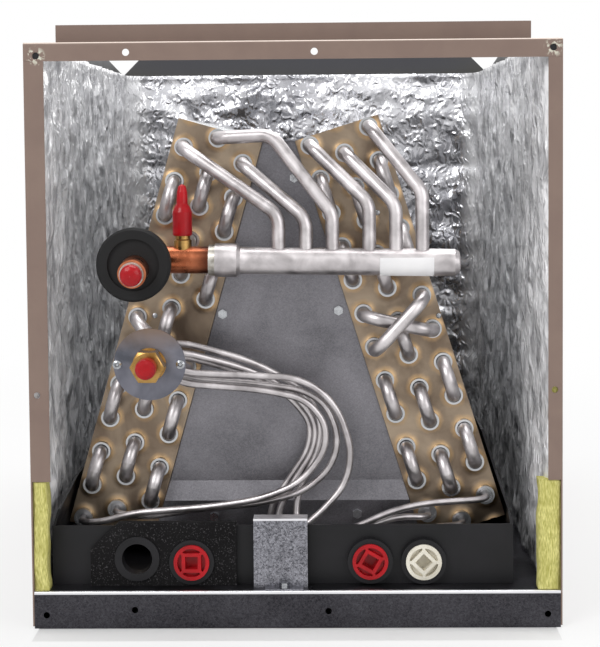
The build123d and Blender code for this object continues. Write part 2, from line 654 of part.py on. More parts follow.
STUB_X = -107.5
STUB_Z = header_z(STUB_X)
STUB_END = Vector(-106.8, at(10.95 - STUB_REACH), 243.8)
elbow = Vector(STUB_X, at(HEADER_SETBACK), STUB_Z)
copper_start = HEADER_START - HEADER_AXIS * 3.0
copper = pipe([copper_start, elbow, STUB_END], HEADER_D, [19.5])
save(copper, "copper_suction_tube")
ring = turned(
    [
        (HEADER_R + CLEAR, -SOCKET_LENGTH - 4.5),
        (10.6, -SOCKET_LENGTH - 4.5),
        (11.0, -SOCKET_LENGTH),
        (HEADER_R + CLEAR, -SOCKET_LENGTH),
    ],
    HEADER_START,
    HEADER_AXIS,
)
save(ring - copper, "transition_ring")

stub_way = (STUB_END - elbow).normalized()
through = rod(STUB_END - stub_way * 60, STUB_END + stub_way * 10, HEADER_R + CLEAR)
GROMMET_X, GROMMET_Z = -107.9, 248.6
grommet = turned(
    [(0, -2.5), (17.5, -2.5), (17.5, -5.0), (23.5, -5.0), (25.0, -3.5), (25.0, -1.2), (22.0, -1.2), (22.0, 1.2), (25.0, 1.2), (25.0, 4.0), (0, 4.0)],
    (GROMMET_X, FRONT, GROMMET_Z),
    (0, 1, 0),
)
save(grommet - through, "suction_grommet")
collar = turned([(0, 0), (8.15, 0), (8.15, 3.0), (0, 3.0)], STUB_END, stub_way)
save(collar, "suction_stub_ring")
knob = turned(
    [(0, 3.0), (6.6, 3.0), (7.25, 4.2), (7.25, 7.2), (6.3, 9.0), (4.2, 10.3), (0, 11.0)],
    STUB_END,
    stub_way,
)
save(knob, "suction_cap")

VALVE_X = -78.6
valve_foot = STUB_Z + 4.0
valve = turned(
    [(0, 0), (6.4, 0), (6.4, 9.2), (5.4, 10.0), (5.4, 12.3), (2.6, 12.3), (2.6, 17.0), (0, 17.0)],
    (VALVE_X, at(HEADER_SETBACK), valve_foot),
    (0, 0, 1),
)
save(valve - copper, "schrader_valve")
cap_foot = valve_foot + 12.4
cap = turned(
    [(0, 4.8), (2.8, 4.8), (2.8, 0), (6.3, 0), (6.8, 1.2), (6.8, 16.5), (5.6, 19.6), (3.9, 22.5), (3.6, 30.5), (2.6, 34.6), (0, 36.0)],
    (VALVE_X, at(HEADER_SETBACK), cap_foot),
    (0, 0, 1),
)
save(cap, "schrader_cap")

# ---------------------------------------------------------------- liquid line and distributor
LIQUID_X, LIQUID_Z = -98.5, 180.6
DISC_FACE = 3.0
DISC_THICK = 1.5
disc = rod((LIQUID_X, at(DISC_FACE), LIQUID_Z), (LIQUID_X, at(DISC_FACE + DISC_THICK), LIQUID_Z), DISC_D / 2)
DISC_SCREWS = [LIQUID_X - 22.0, LIQUID_X + 21.0]
disc -= rod((LIQUID_X, FRONT, LIQUID_Z), (LIQUID_X, at(10), LIQUID_Z), 6.0 + CLEAR)
screws = []
for x in DISC_SCREWS:
    disc -= rod((x, FRONT, LIQUID_Z), (x, at(10), LIQUID_Z), 1.7)
    shape = turned([(0, 0.9), (1.0, 0.9), (1.6, 0), (3.0, 0.5), (3.1, 2.0), (1.6, 2.0), (1.6, 7.5), (0, 7.5)], (x, at(DISC_FACE - 2.0), LIQUID_Z), (0, 1, 0))
    screws.append(shape)
save(disc, "liquid_line_disc")
save(Compound(children=screws), "disc_screws")

NUT_FACE = -15.0
NUT_FLATS = 20.3
nut_length = DISC_FACE - NUT_FACE
nut_plane = Plane(origin=(LIQUID_X, at(NUT_FACE), LIQUID_Z), x_dir=(1, 0, 0), z_dir=(0, 1, 0))
nut = nut_plane * extrude(RegularPolygon(NUT_FLATS / math.sqrt(3), 6), nut_length - 1.5)
nut &= turned(
    [(0, 0), (9.6, 0), (11.8, 1.4), (11.8, nut_length - 2.8), (10.4, nut_length - 1.5), (0, nut_length - 1.5)],
    (LIQUID_X, at(NUT_FACE), LIQUID_Z),
    (0, 1, 0),
)
nut += rod((LIQUID_X, at(DISC_FACE - 1.5), LIQUID_Z), (LIQUID_X, at(DISC_FACE), LIQUID_Z), 11.3)
nut -= rod((LIQUID_X, at(NUT_FACE + 6), LIQUID_Z), (LIQUID_X, at(10), LIQUID_Z), 6.0 + CLEAR)
save(nut, "liquid_line_nut")
plug_cap = turned(
    [(0, 0), (6.9, 0), (6.9, -9.0), (6.2, -11.6), (4.2, -13.4), (0, -14.2)],
    (LIQUID_X, at(NUT_FACE), LIQUID_Z),
    (0, 1, 0),
)
save(plug_cap, "liquid_line_cap")

BODY_BACK = 24.0
SOCKET_CIRCLE = 6.4
distributor = turned(
    [
        (0, -5.0),
        (6.0, -5.0),
        (6.0, DISC_FACE + DISC_THICK),
        (8.0, DISC_FACE + DISC_THICK),
        (10.4, 12.0),
        (10.4, BODY_BACK),
        (0, BODY_BACK),
    ],
    (LIQUID_X, FRONT, LIQUID_Z),
    (0, 1, 0),
)


def socket(angle, setback):
    """Axis point of one of the six outlets at the back of the distributor."""
    turn = math.radians(angle)
    return LIQUID_X + SOCKET_CIRCLE * math.cos(turn), at(setback), LIQUID_Z + SOCKET_CIRCLE * math.sin(turn)


for angle in range(-30, 330, 60):
    distributor -= rod(socket(angle, BODY_BACK - 4), socket(angle, BODY_BACK + 1), CAPILLARY_D / 2 + CLEAR)
save(distributor, "liquid_distributor")

# Each route: outlet angle, depth at which it turns aside, hand-set (x, setback, z) points, slab, row.
CAPILLARIES = [
    (-30, 36, [(-76.8, 36, 170.4), (4.0, 40, 165.9), (28.3, 42, 146.5), (38.6, 43, 113.9), (34.2, 42, 90.2), (14.4, 40, 68.0), (-8, 41, 51), (-32, 42, 43), (-96, 45, 43)], left, 2),
    (210, 43, [(-77.4, 43, 165.6), (-27.1, 47, 160.9), (4.5, 46, 156.5), (21.0, 46, 146.0), (29.6, 46, 123.3), (24.5, 47, 101.7), (5.3, 49, 83.7), (-25.3, 53, 74.5), (-73.3, 58, 69.5), (-108, 62, 63.0)], left, 1),
    (270, 36, [(-80.0, 36, 162.7), (-24.0, 40, 157.6), (6.7, 42, 150.4), (20.5, 43, 132.8), (19.7, 43, 113.8), (3.3, 44, 91.3), (-25.0, 46, 79.0), (-63.4, 50, 72.6), (-117.4, 57, 67.0), (-141.7, 62, 59.5)], left, 0),
    (150, 48, [(-75.0, 49, 179.2), (-31.7, 60, 165.5), (-5.0, 62, 149.9), (10.3, 62, 129.8), (8.0, 62, 111.1), (-8.5, 63, 86.5), (-19.4, 64, 70.0), (-22.3, 64, 36.5), (36, 64, 37.5), (66, 64, 51), (92, 65, 53.6)], right, 1),
    (30, 36, [(-77.3, 36, 184.4), (-52.1, 45, 176.8), (-24.6, 56, 166.0), (0.1, 57, 150.7), (14.1, 57, 130.7), (11.8, 57, 111.5), (-3.3, 57, 88.7), (-13.5, 57, 70.0), (-15.8, 57, 42), (24, 57, 44), (46, 59, 55), (71.3, 63, 62.5)], right, 2),
    (90, 43, [(-81.4, 43, 190.9), (-62.7, 46, 185.9), (-34.9, 51, 177.3), (-14.0, 56, 166.6), (7.9, 54, 151.7), (17.6, 52, 131.4), (15.4, 52, 112.4), (4.6, 54.4, 91.5), (-0.9, 56, 76.0), (-0.9, 50, 48), (22, 51, 49.5), (46.1, 54, 59.2), (66.8, 58, 67.5), (90.5, 62, 72.0)], right, 0),
]
for index, (angle, depth, points, slab, row) in enumerate(CAPILLARIES, start=1):
    route = [socket(angle, BODY_BACK - 3.5), socket(angle, depth)]
    route += [(x, at(setback), z) for x, setback, z in points]
    route += [slab.tube(row, TUBES_PER_ROW, SLAB_SETBACK - 18), slab.tube(row, TUBES_PER_ROW, SLAB_SETBACK - 1.2)]
    save(pipe(route, CAPILLARY_D, smooth_radii(route, 5.0)), "distributor_tube_" + str(index))
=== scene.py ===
"""Dresses the cased A-coil evaporator: metal, paint and plastic finishes, the crumpled foil lining
with its glass wool, small rivets, camera and studio light."""

import logging  # noqa: E402
import math  # noqa: E402
from dataclasses import dataclass, field  # noqa: E402
from enum import Enum  # noqa: E402

import bmesh  # noqa: E402
import bpy  # noqa: E402
from mathutils import Euler, Matrix, Vector, noise  # noqa: E402

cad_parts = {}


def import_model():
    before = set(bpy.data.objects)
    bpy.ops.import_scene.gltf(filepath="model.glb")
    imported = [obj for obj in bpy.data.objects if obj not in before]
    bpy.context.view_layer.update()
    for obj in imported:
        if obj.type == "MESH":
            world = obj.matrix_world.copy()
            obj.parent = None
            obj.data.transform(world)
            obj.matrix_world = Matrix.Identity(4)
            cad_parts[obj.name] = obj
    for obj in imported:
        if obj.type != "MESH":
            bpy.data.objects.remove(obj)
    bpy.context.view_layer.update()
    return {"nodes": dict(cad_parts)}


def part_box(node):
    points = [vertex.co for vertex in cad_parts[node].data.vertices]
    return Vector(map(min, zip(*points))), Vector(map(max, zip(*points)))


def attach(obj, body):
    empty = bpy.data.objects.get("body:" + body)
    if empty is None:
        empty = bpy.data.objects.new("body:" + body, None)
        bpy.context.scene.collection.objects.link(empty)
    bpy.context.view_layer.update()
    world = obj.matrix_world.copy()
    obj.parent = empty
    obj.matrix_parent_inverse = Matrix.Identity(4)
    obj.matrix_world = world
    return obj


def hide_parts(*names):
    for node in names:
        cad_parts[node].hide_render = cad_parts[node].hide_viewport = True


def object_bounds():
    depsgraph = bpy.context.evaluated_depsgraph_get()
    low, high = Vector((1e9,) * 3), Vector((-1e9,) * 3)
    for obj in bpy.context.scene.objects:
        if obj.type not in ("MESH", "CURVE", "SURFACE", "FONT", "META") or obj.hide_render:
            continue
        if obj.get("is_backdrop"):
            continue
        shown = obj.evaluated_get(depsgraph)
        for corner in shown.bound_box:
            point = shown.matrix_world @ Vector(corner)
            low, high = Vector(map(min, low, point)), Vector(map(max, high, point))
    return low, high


LOG = logging.getLogger("a_coil")
MM = 0.001
NOISE_SEED = 11
# Height over which a painted highlight band fades in at its foot.
PAINTED_HIGHLIGHT_FADE = 0.4 * MM
TINY = 1e-6
Colour = tuple[float, float, float, float]
Socket = bpy.types.NodeSocket
Node = bpy.types.Node
Tree = bpy.types.NodeTree
Material = bpy.types.Material
Object = bpy.types.Object
BMesh = bmesh.types.BMesh


def srgb(red: int, green: int, blue: int) -> Colour:
    """Linear colour of an 8-bit display colour.

    Args:
        red: Red from 0 to 255.
        green: Green from 0 to 255.
        blue: Blue from 0 to 255.

    Returns:
        The colour with an alpha of 1.
    """
    linear = []
    for level in (red, green, blue):
        share = level / 255
        linear.append(share / 12.92 if share <= 0.04045 else ((share + 0.055) / 1.055) ** 2.4)
    return (linear[0], linear[1], linear[2], 1.0)


# ---------------------------------------------------------------- shader building


class Graph:
    """Short calls that add and join the nodes of one node tree."""

    def __init__(self, tree: Tree) -> None:
        """Keep the tree to build in."""
        self.tree = tree

    def add(self, kind: str, **settings: object) -> Node:
        """Add a node.

        Args:
            kind: Blender's node type.
            **settings: Properties to set on it.

        Returns:
            The new node.
        """
        node = self.tree.nodes.new(kind)
        for name, value in settings.items():
            setattr(node, name, value)
        return node

    def feed(self, socket: Socket, value: object) -> None:
        """Link a socket to value where that is a socket, or set it otherwise."""
        if isinstance(value, Socket):
            self.tree.links.new(value, socket)
        else:
            socket.default_value = value

    def place(self) -> Socket:
        """Object coordinates, in metres."""
        return self.add("ShaderNodeTexCoord").outputs["Object"]

    def stretch(self, vector: Socket, scale: tuple[float, float, float]) -> Socket:
        """Coordinates scaled on each axis."""
        node = self.add("ShaderNodeMapping")
        self.feed(node.inputs["Vector"], vector)
        node.inputs["Scale"].default_value = scale
        return node.outputs["Vector"]

    def split(self, vector: Socket) -> tuple[Socket, ...]:
        """The x, y and z of a vector."""
        node = self.add("ShaderNodeSeparateXYZ")
        self.feed(node.inputs[0], vector)
        return tuple(node.outputs)

    def math(self, operation: str, first: object, second: object = 0.0) -> Socket:
        """Result of one math operation."""
        node = self.add("ShaderNodeMath", operation=operation)
        self.feed(node.inputs[0], first)
        self.feed(node.inputs[1], second)
        return node.outputs[0]

    def plus(self, first: object, second: object) -> Socket:
        """Sum of two values."""
        return self.math("ADD", first, second)

    def minus(self, first: object, second: object) -> Socket:
        """First value less the second."""
        return self.math("SUBTRACT", first, second)

    def times(self, first: object, second: object) -> Socket:
        """Product of two values."""
        return self.math("MULTIPLY", first, second)

    def under(self, value: object, limit: object) -> Socket:
        """1 where a value is less than a limit, and 0 elsewhere."""
        return self.math("LESS_THAN", value, limit)

    def over(self, value: object, limit: object) -> Socket:
        """1 where a value is more than a limit, and 0 elsewhere."""
        return self.math("GREATER_THAN", value, limit)

    def reach(self, across: object, along: object) -> Socket:
        """Length of a line from its two legs, which aren't negative."""
        return self.math("SQRT", self.plus(self.math("POWER", across, 2.0), self.math("POWER", along, 2.0)))

    def away(self, value: object, middle: object) -> Socket:
        """How far a value is from a middle, on either side."""
        return self.math("ABSOLUTE", self.minus(value, middle))

    def spread(
        self,
        value: object,
        low: object,
        high: object,
        to: tuple[float, float] = (0.0, 1.0),
    ) -> Socket:
        """Value from low to high, mapped to a range and clamped."""
        node = self.add("ShaderNodeMapRange")
        self.feed(node.inputs["Value"], value)
        self.feed(node.inputs["From Min"], low)
        self.feed(node.inputs["From Max"], high)
        node.inputs["To Min"].default_value = to[0]
        node.inputs["To Max"].default_value = to[1]
        return node.outputs["Result"]

    def noise(
        self,
        vector: object,
        scale: object,
        detail: float = 4.0,
        kind: str = "FBM",
        distortion: float = 0.0,
    ) -> Socket:
        """Height of a noise texture."""
        node = self.add("ShaderNodeTexNoise", noise_type=kind)
        self.feed(node.inputs["Vector"], vector)
        self.feed(node.inputs["Scale"], scale)
        node.inputs["Detail"].default_value = detail
        node.inputs["Distortion"].default_value = distortion
        return node.outputs[0]

    def mix(self, share: object, low: object, high: object) -> Socket:
        """Colour between low and high."""
        node = self.add("ShaderNodeMix", data_type="RGBA")
        self.feed(node.inputs["Factor"], share)
        self.feed(node.inputs[6], low)
        self.feed(node.inputs[7], high)
        return node.outputs[2]

    def bump(self, height: object, strength: float, distance: object, under: object = None) -> Socket:
        """Normal of a height field, on top of another normal if under is given."""
        node = self.add("ShaderNodeBump")
        node.inputs["Strength"].default_value = strength
        self.feed(node.inputs["Distance"], distance)
        self.feed(node.inputs["Height"], height)
        if under is not None:
            self.feed(node.inputs["Normal"], under)
        return node.outputs[0]

    def painted_highlight_band(self, foot: float, top: float, behind: float) -> Socket:
        """Mask of a painted highlight band: 1 between two heights and in front of a plane, and 0 elsewhere.
        """
        _, y, z = self.split(self.place())
        risen = self.spread(z, foot, foot + PAINTED_HIGHLIGHT_FADE)
        below = self.under(z, top)
        return self.times(self.times(risen, below), self.under(y, behind))

    def use(self, group: Tree, **values: object) -> Node:
        """Place a shared group and feed its inputs by name, with _ for a space."""
        node = self.add("ShaderNodeGroup", node_tree=group)
        for name, value in values.items():
            self.feed(node.inputs[name.replace("_", " ")], value)
        return node


class Shared(Enum):
    """Effects that several finishes share."""

    PATCHES = "surface patches"
    GRAIN = "fine grain"
    SPANGLE = "zinc spangle"
    COLLARS = "distance to tube collars"


class SharedEffects:
    """Builds each shared node group once."""

    crystal_sizes = (1.0, 2.7)
    _made: dict[Shared, Tree] = {}

    @classmethod
    def get(cls, which: Shared) -> Tree:
        """The group for an effect.

        Args:
            which: The effect.

        Returns:
            Its node group, built at the first call.
        """
        if which not in cls._made:
            builders = {
                Shared.PATCHES: cls._patches,
                Shared.GRAIN: cls._grain,
                Shared.SPANGLE: cls._spangle,
                Shared.COLLARS: cls._collars,
            }
            cls._made[which] = builders[which](which.value)
        return cls._made[which]

    @staticmethod
    def _open(name: str, inputs: dict[str, float], output: str, kind: str) -> tuple[Graph, Node, Node]:
        """Start a group with its sockets.

        Args:
            name: The group's name.
            inputs: Value inputs and their defaults.
            output: The output's name.
            kind: The output's socket type.

        Returns:
            The graph, the node with the inputs and the node with the output.
        """
        tree = bpy.data.node_groups.new(name, "ShaderNodeTree")
        for label, value in inputs.items():
            socket = tree.interface.new_socket(label, in_out="INPUT", socket_type="NodeSocketFloat")
            socket.default_value = value
        tree.interface.new_socket(output, in_out="OUTPUT", socket_type=kind)
        graph = Graph(tree)
        return graph, graph.add("NodeGroupInput"), graph.add("NodeGroupOutput")

    @classmethod
    def _patches(cls, name: str) -> Tree:
        """Soft uneven patches, from 0 to 1."""
        slots = {"Scale": 20.0, "Low": 0.35, "High": 0.65}
        graph, given, made = cls._open(name, slots, "Mask", "NodeSocketFloat")
        height = graph.noise(graph.place(), given.outputs["Scale"], detail=6.0, distortion=0.4)
        mask = graph.spread(height, given.outputs["Low"], given.outputs["High"])
        graph.feed(made.inputs["Mask"], mask)
        return graph.tree

    @classmethod
    def _grain(cls, name: str) -> Tree:
        """Fine uneven grain as a normal."""
        slots = {"Scale": 900.0, "Depth": 0.02 * MM}
        graph, given, made = cls._open(name, slots, "Normal", "NodeSocketVector")
        height = graph.noise(graph.place(), given.outputs["Scale"], detail=3.0)
        graph.feed(made.inputs["Normal"], graph.bump(height, 1.0, given.outputs["Depth"]))
        return graph.tree

    @classmethod
    def _spangle(cls, name: str) -> Tree:
        """Zinc crystals: a flat tone for each crystal, broken by finer ones."""
        graph, given, made = cls._open(name, {"Scale": 180.0}, "Tone", "NodeSocketFloat")
        place = graph.place()
        tones = []
        for share in cls.crystal_sizes:
            cells = graph.add("ShaderNodeTexVoronoi", feature="F1")
            graph.feed(cells.inputs["Vector"], place)
            graph.feed(cells.inputs["Scale"], graph.times(given.outputs["Scale"], share))
            tones.append(graph.split(cells.outputs["Color"])[0])
        graph.feed(made.inputs["Tone"], graph.times(graph.plus(*tones), 0.5))
        return graph.tree

    @classmethod
    def _collars(cls, name: str) -> Tree:
        """Distance in metres from the nearest tube axis of a leaning slab."""
        slots = {
            "Top X": 0.0,
            "Top Z": 0.0,
            "Side": 1.0,
            "Sine": 0.0,
            "Cosine": 1.0,
            "First": 0.0,
            "Margin": 0.0,
            "Row Pitch": 22.0 * MM,
            "Pitch": 25.4 * MM,
        }
        graph, given, made = cls._open(name, slots, "Distance", "NodeSocketFloat")
        use = given.outputs
        x, _, z = graph.split(graph.place())
        run = graph.times(graph.minus(x, use["Top X"]), use["Side"])
        rise = graph.minus(z, use["Top Z"])
        down = graph.minus(graph.times(run, use["Sine"]), graph.times(rise, use["Cosine"]))
        inward = graph.plus(graph.times(run, use["Cosine"]), graph.times(rise, use["Sine"]))
        across = graph.times(inward, -1.0)
        beside = graph.minus(across, use["Margin"])
        row = graph.math("ROUND", graph.math("DIVIDE", beside, use["Row Pitch"]))
        half_pitch = graph.times(use["Pitch"], 0.5)
        along = graph.plus(graph.minus(down, use["First"]), graph.times(row, half_pitch))
        off_row = graph.math("PINGPONG", beside, graph.times(use["Row Pitch"], 0.5))
        off_tube = graph.math("PINGPONG", along, half_pitch)
        graph.feed(made.inputs["Distance"], graph.reach(off_row, off_tube))
        return graph.tree


# ---------------------------------------------------------------- finishes


@dataclass(frozen=True)
class Finish:
    """A finish whose tone and gloss drift between two states in soft patches."""

    name: str
    dark: Colour
    light: Colour
    metallic: float = 0.0
    gloss: tuple[float, float] = (0.35, 0.5)
    patch_scale: float = 22.0
    patch_edge: tuple[float, float] = (0.35, 0.65)
    grain_scale: float = 900.0
    grain_depth: float = 0.02 * MM
    coat: float = 0.0
    coat_gloss: float = 0.08
    specular: float = 0.5
    # Optional painted highlight: a light band along a bent edge, between two heights and in front of a
    # plane, in place of the light that the bend catches.
    painted_highlight_band: tuple[float, float, float] | None = None
    painted_highlight_tone: Colour = (0.8, 0.8, 0.8, 1.0)

    def colour(self, graph: Graph, patches: Socket) -> Socket:
        """Base colour over the surface."""
        return graph.mix(patches, self.dark, self.light)

    def normal(self, graph: Graph) -> Socket:
        """Surface normal."""
        grain = graph.use(SharedEffects.get(Shared.GRAIN), Scale=self.grain_scale, Depth=self.grain_depth)
        return grain.outputs["Normal"]

    def metal(self, graph: Graph) -> object:
        """Metallic value or mask."""
        return self.metallic

    def roughness(self, graph: Graph, patches: Socket) -> Socket:
        """Roughness over the surface."""
        return graph.spread(patches, 0.0, 1.0, self.gloss)

    def build(self) -> Material:
        """Make the material.

        Returns:
            The finished material.
        """
        material = bpy.data.materials.new(self.name)
        material.use_nodes = True
        graph = Graph(material.node_tree)
        shader = material.node_tree.nodes["Principled BSDF"]
        low, high = self.patch_edge
        group = SharedEffects.get(Shared.PATCHES)
        patches = graph.use(group, Scale=self.patch_scale, Low=low, High=high).outputs["Mask"]
        colour = self.colour(graph, patches)
        # Painted highlight along a bent edge, where one is given.
        if self.painted_highlight_band:
            colour = graph.mix(graph.painted_highlight_band(*self.painted_highlight_band), colour, self.painted_highlight_tone)
        graph.feed(shader.inputs["Base Color"], colour)
        graph.feed(shader.inputs["Roughness"], self.roughness(graph, patches))
        graph.feed(shader.inputs["Metallic"], self.metal(graph))
        graph.feed(shader.inputs["Normal"], self.normal(graph))
        shader.inputs["Specular IOR Level"].default_value = self.specular
        if self.coat:
            shader.inputs["Coat Weight"].default_value = self.coat
            shader.inputs["Coat Roughness"].default_value = self.coat_gloss
        return material


@dataclass(frozen=True)
class Galvanised(Finish):
    """Zinc-coated sheet with crystals of several tones."""

    spangle_scale: float = 520.0
    spangle_share: float = 0.5

    def colour(self, graph: Graph, patches: Socket) -> Socket:
        """Patches broken up by crystals."""
        spangle = graph.use(SharedEffects.get(Shared.SPANGLE), Scale=self.spangle_scale)
        kept = graph.times(patches, 1.0 - self.spangle_share)
        blend = graph.plus(kept, graph.times(spangle.outputs["Tone"], self.spangle_share))
        return graph.mix(blend, self.dark, self.light)


@dataclass(frozen=True)
class Painted(Finish):
    """Satin paint outside, with the dark primer of the casing's inner faces."""

    inner_coat: Colour = (0.05, 0.05, 0.05, 1.0)
    room: tuple[float, float, float] = (0.0, 0.0, 0.0)
    holes: tuple[tuple[float, float], ...] = ()
    hole_radius: float = 2.3 * MM
    chip_radius: float = 7.0 * MM
    chip_core: float = 0.55
    chip_scale: float = 420.0
    chip_edge: tuple[float, float] = (0.52, 0.56)
    chip_tone: Colour = (0.62, 0.6, 0.5, 1.0)
    # Painted shade inside the screw holes.
    painted_hole_shade: Colour = (0.004, 0.004, 0.005, 1.0)

    def _holes(self, graph: Graph, painted: Socket) -> Socket:
        """Screw holes in the casing's front face filled with painted shade, with the paint chipped away
        round them.
        """
        x, y, z = graph.split(graph.place())
        front = graph.under(y, self.room[1])
        chips = graph.spread(graph.noise(graph.place(), self.chip_scale, detail=3.0), *self.chip_edge)
        for hole_x, hole_z in self.holes:
            distance = graph.reach(graph.away(x, hole_x), graph.away(z, hole_z))
            near = graph.spread(distance, self.chip_core * self.chip_radius, self.chip_radius, (1.0, 0.0))
            chipped = graph.times(graph.times(near, chips), front)
            painted = graph.mix(chipped, painted, self.chip_tone)
            # Painted shade: each hole is filled with a near-black disc, where only shade lies on the flange
            # behind it.
            inside = graph.times(graph.under(distance, self.hole_radius), front)
            painted = graph.mix(inside, painted, self.painted_hole_shade)
        return painted

    def colour(self, graph: Graph, patches: Socket) -> Socket:
        """Paint, or primer within the casing's room."""
        x, y, _ = graph.split(graph.place())
        half_width, front, back = self.room
        inside = graph.under(graph.math("ABSOLUTE", x), half_width)
        inside = graph.times(inside, graph.over(y, front))
        inside = graph.times(inside, graph.under(y, back))
        painted = self._holes(graph, graph.mix(patches, self.dark, self.light))
        return graph.mix(inside, painted, self.inner_coat)


@dataclass(frozen=True)
class SlabPlace:
    """Where a leaning slab stands, for patterns that follow its tubes."""

    side: float
    top_x: float
    top_z: float
    lean: float
    first: float
    margin: float
    row_pitch: float
    pitch: float

    def tube(self, row: int, number: int) -> tuple[float, float]:
        """The x and z of a tube's axis; row 0 is the outer row and number 1 the topmost tube.

        Args:
            row: The row, counted from the outer face.
            number: The tube in its row, counted from the top.

        Returns:
            The place, with every second row half a pitch off.
        """
        shift = self.pitch / 2 if row % 2 else 0.0
        first = (self.first + shift) % self.pitch
        down = first + self.pitch * (number - 1)
        across = self.margin + self.row_pitch * row
        x = self.top_x + self.side * (down * math.sin(self.lean) - across * math.cos(self.lean))
        return x, self.top_z - down * math.cos(self.lean) - across * math.sin(self.lean)

    def collars(self, graph: Graph) -> Node:
        """The group that measures from the tube collars."""
        return graph.use(
            SharedEffects.get(Shared.COLLARS),
            Top_X=self.top_x,
            Top_Z=self.top_z,
            Side=self.side,
            Sine=math.sin(self.lean),
            Cosine=math.cos(self.lean),
            First=self.first,
            Margin=self.margin,
            Row_Pitch=self.row_pitch,
            Pitch=self.pitch,
        )


@dataclass(frozen=True)
class TubeSheetCoating(Finish):
    """Tan coated sheet, with a painted golden highlight round each tube collar."""

    # Golden painted highlight round the collars.
    painted_collar_highlight: Colour = (0.5, 0.3, 0.1, 1.0)
    place: SlabPlace | None = None
    halo_start: float = 6.8 * MM
    halo_end: float = 12.0 * MM
    painted_highlight_share: float = 0.75
    wobble: float = 3.0 * MM
    wobble_scale: float = 260.0
    draw_depth: float = 0.8 * MM
    bare: tuple[tuple[float, float], ...] = ()
    bare_radius: float = 12.7 * MM

    def _distance(self, graph: Graph) -> Socket:
        """Distance from the nearest collar, made large round the places that have no tube."""
        distance = self.place.collars(graph).outputs["Distance"]
        x, _, z = graph.split(graph.place())
        for bare_x, bare_z in self.bare:
            from_bare = graph.reach(graph.away(x, bare_x), graph.away(z, bare_z))
            near = graph.under(from_bare, self.bare_radius)
            distance = graph.plus(distance, graph.times(near, self.halo_end))
        return distance

    def colour(self, graph: Graph, patches: Socket) -> Socket:
        """Tan, with painted highlights that fade away from the collars."""
        base = graph.mix(patches, self.dark, self.light)
        wobble = graph.times(graph.noise(graph.place(), self.wobble_scale), self.wobble)
        near = graph.spread(graph.plus(self._distance(graph), wobble), self.halo_end, self.halo_start)
        # Painted highlight: a golden tone near each collar, in place of the light that the drawn-up sheet
        # catches.
        return graph.mix(graph.times(near, self.painted_highlight_share), base, self.painted_collar_highlight)

    def normal(self, graph: Graph) -> Socket:
        """Sheet drawn up round each collar."""
        drawn = graph.spread(self._distance(graph), self.halo_end, self.halo_start)
        height = graph.math("POWER", drawn, 2.0)
        return graph.bump(height, 1.0, self.draw_depth, super().normal(graph))


@dataclass(frozen=True)
class FinStack(Finish):
    """Thin fins with painted shade in the gaps between them; the tube ends beyond the tube sheets stay
    plain bright metal.
    """

    painted_gap_shade: Colour = (0.02, 0.02, 0.022, 1.0)
    front: float = 0.0
    back: float = 0.0
    pitch: float = 1.8 * MM
    edge: tuple[float, float] = (0.25, 0.6)
    ridge: float = 0.3 * MM

    def _in_fins(self, graph: Graph) -> Socket:
        """1 between the tube sheets and 0 outside them."""
        _, y, _ = graph.split(graph.place())
        return graph.times(graph.over(y, self.front), graph.under(y, self.back))

    def _crest(self, graph: Graph) -> Socket:
        """1 on a fin's edge and 0 in the gap between two."""
        _, y, _ = graph.split(graph.place())
        half = self.pitch / 2
        low, high = self.edge
        return graph.spread(graph.math("PINGPONG", y, half), low * half, high * half)

    def colour(self, graph: Graph, patches: Socket) -> Socket:
        """Fin edges, with painted shade in the gaps between them."""
        metal = graph.mix(patches, self.dark, self.light)
        # Painted shade in the gaps between the fins.
        painted_gap_shade_mask = graph.times(self._in_fins(graph), graph.minus(1.0, self._crest(graph)))
        return graph.mix(painted_gap_shade_mask, metal, self.painted_gap_shade)

    def normal(self, graph: Graph) -> Socket:
        """Ridges of the fins."""
        height = graph.times(self._crest(graph), self._in_fins(graph))
        return graph.bump(height, 1.0, self.ridge)


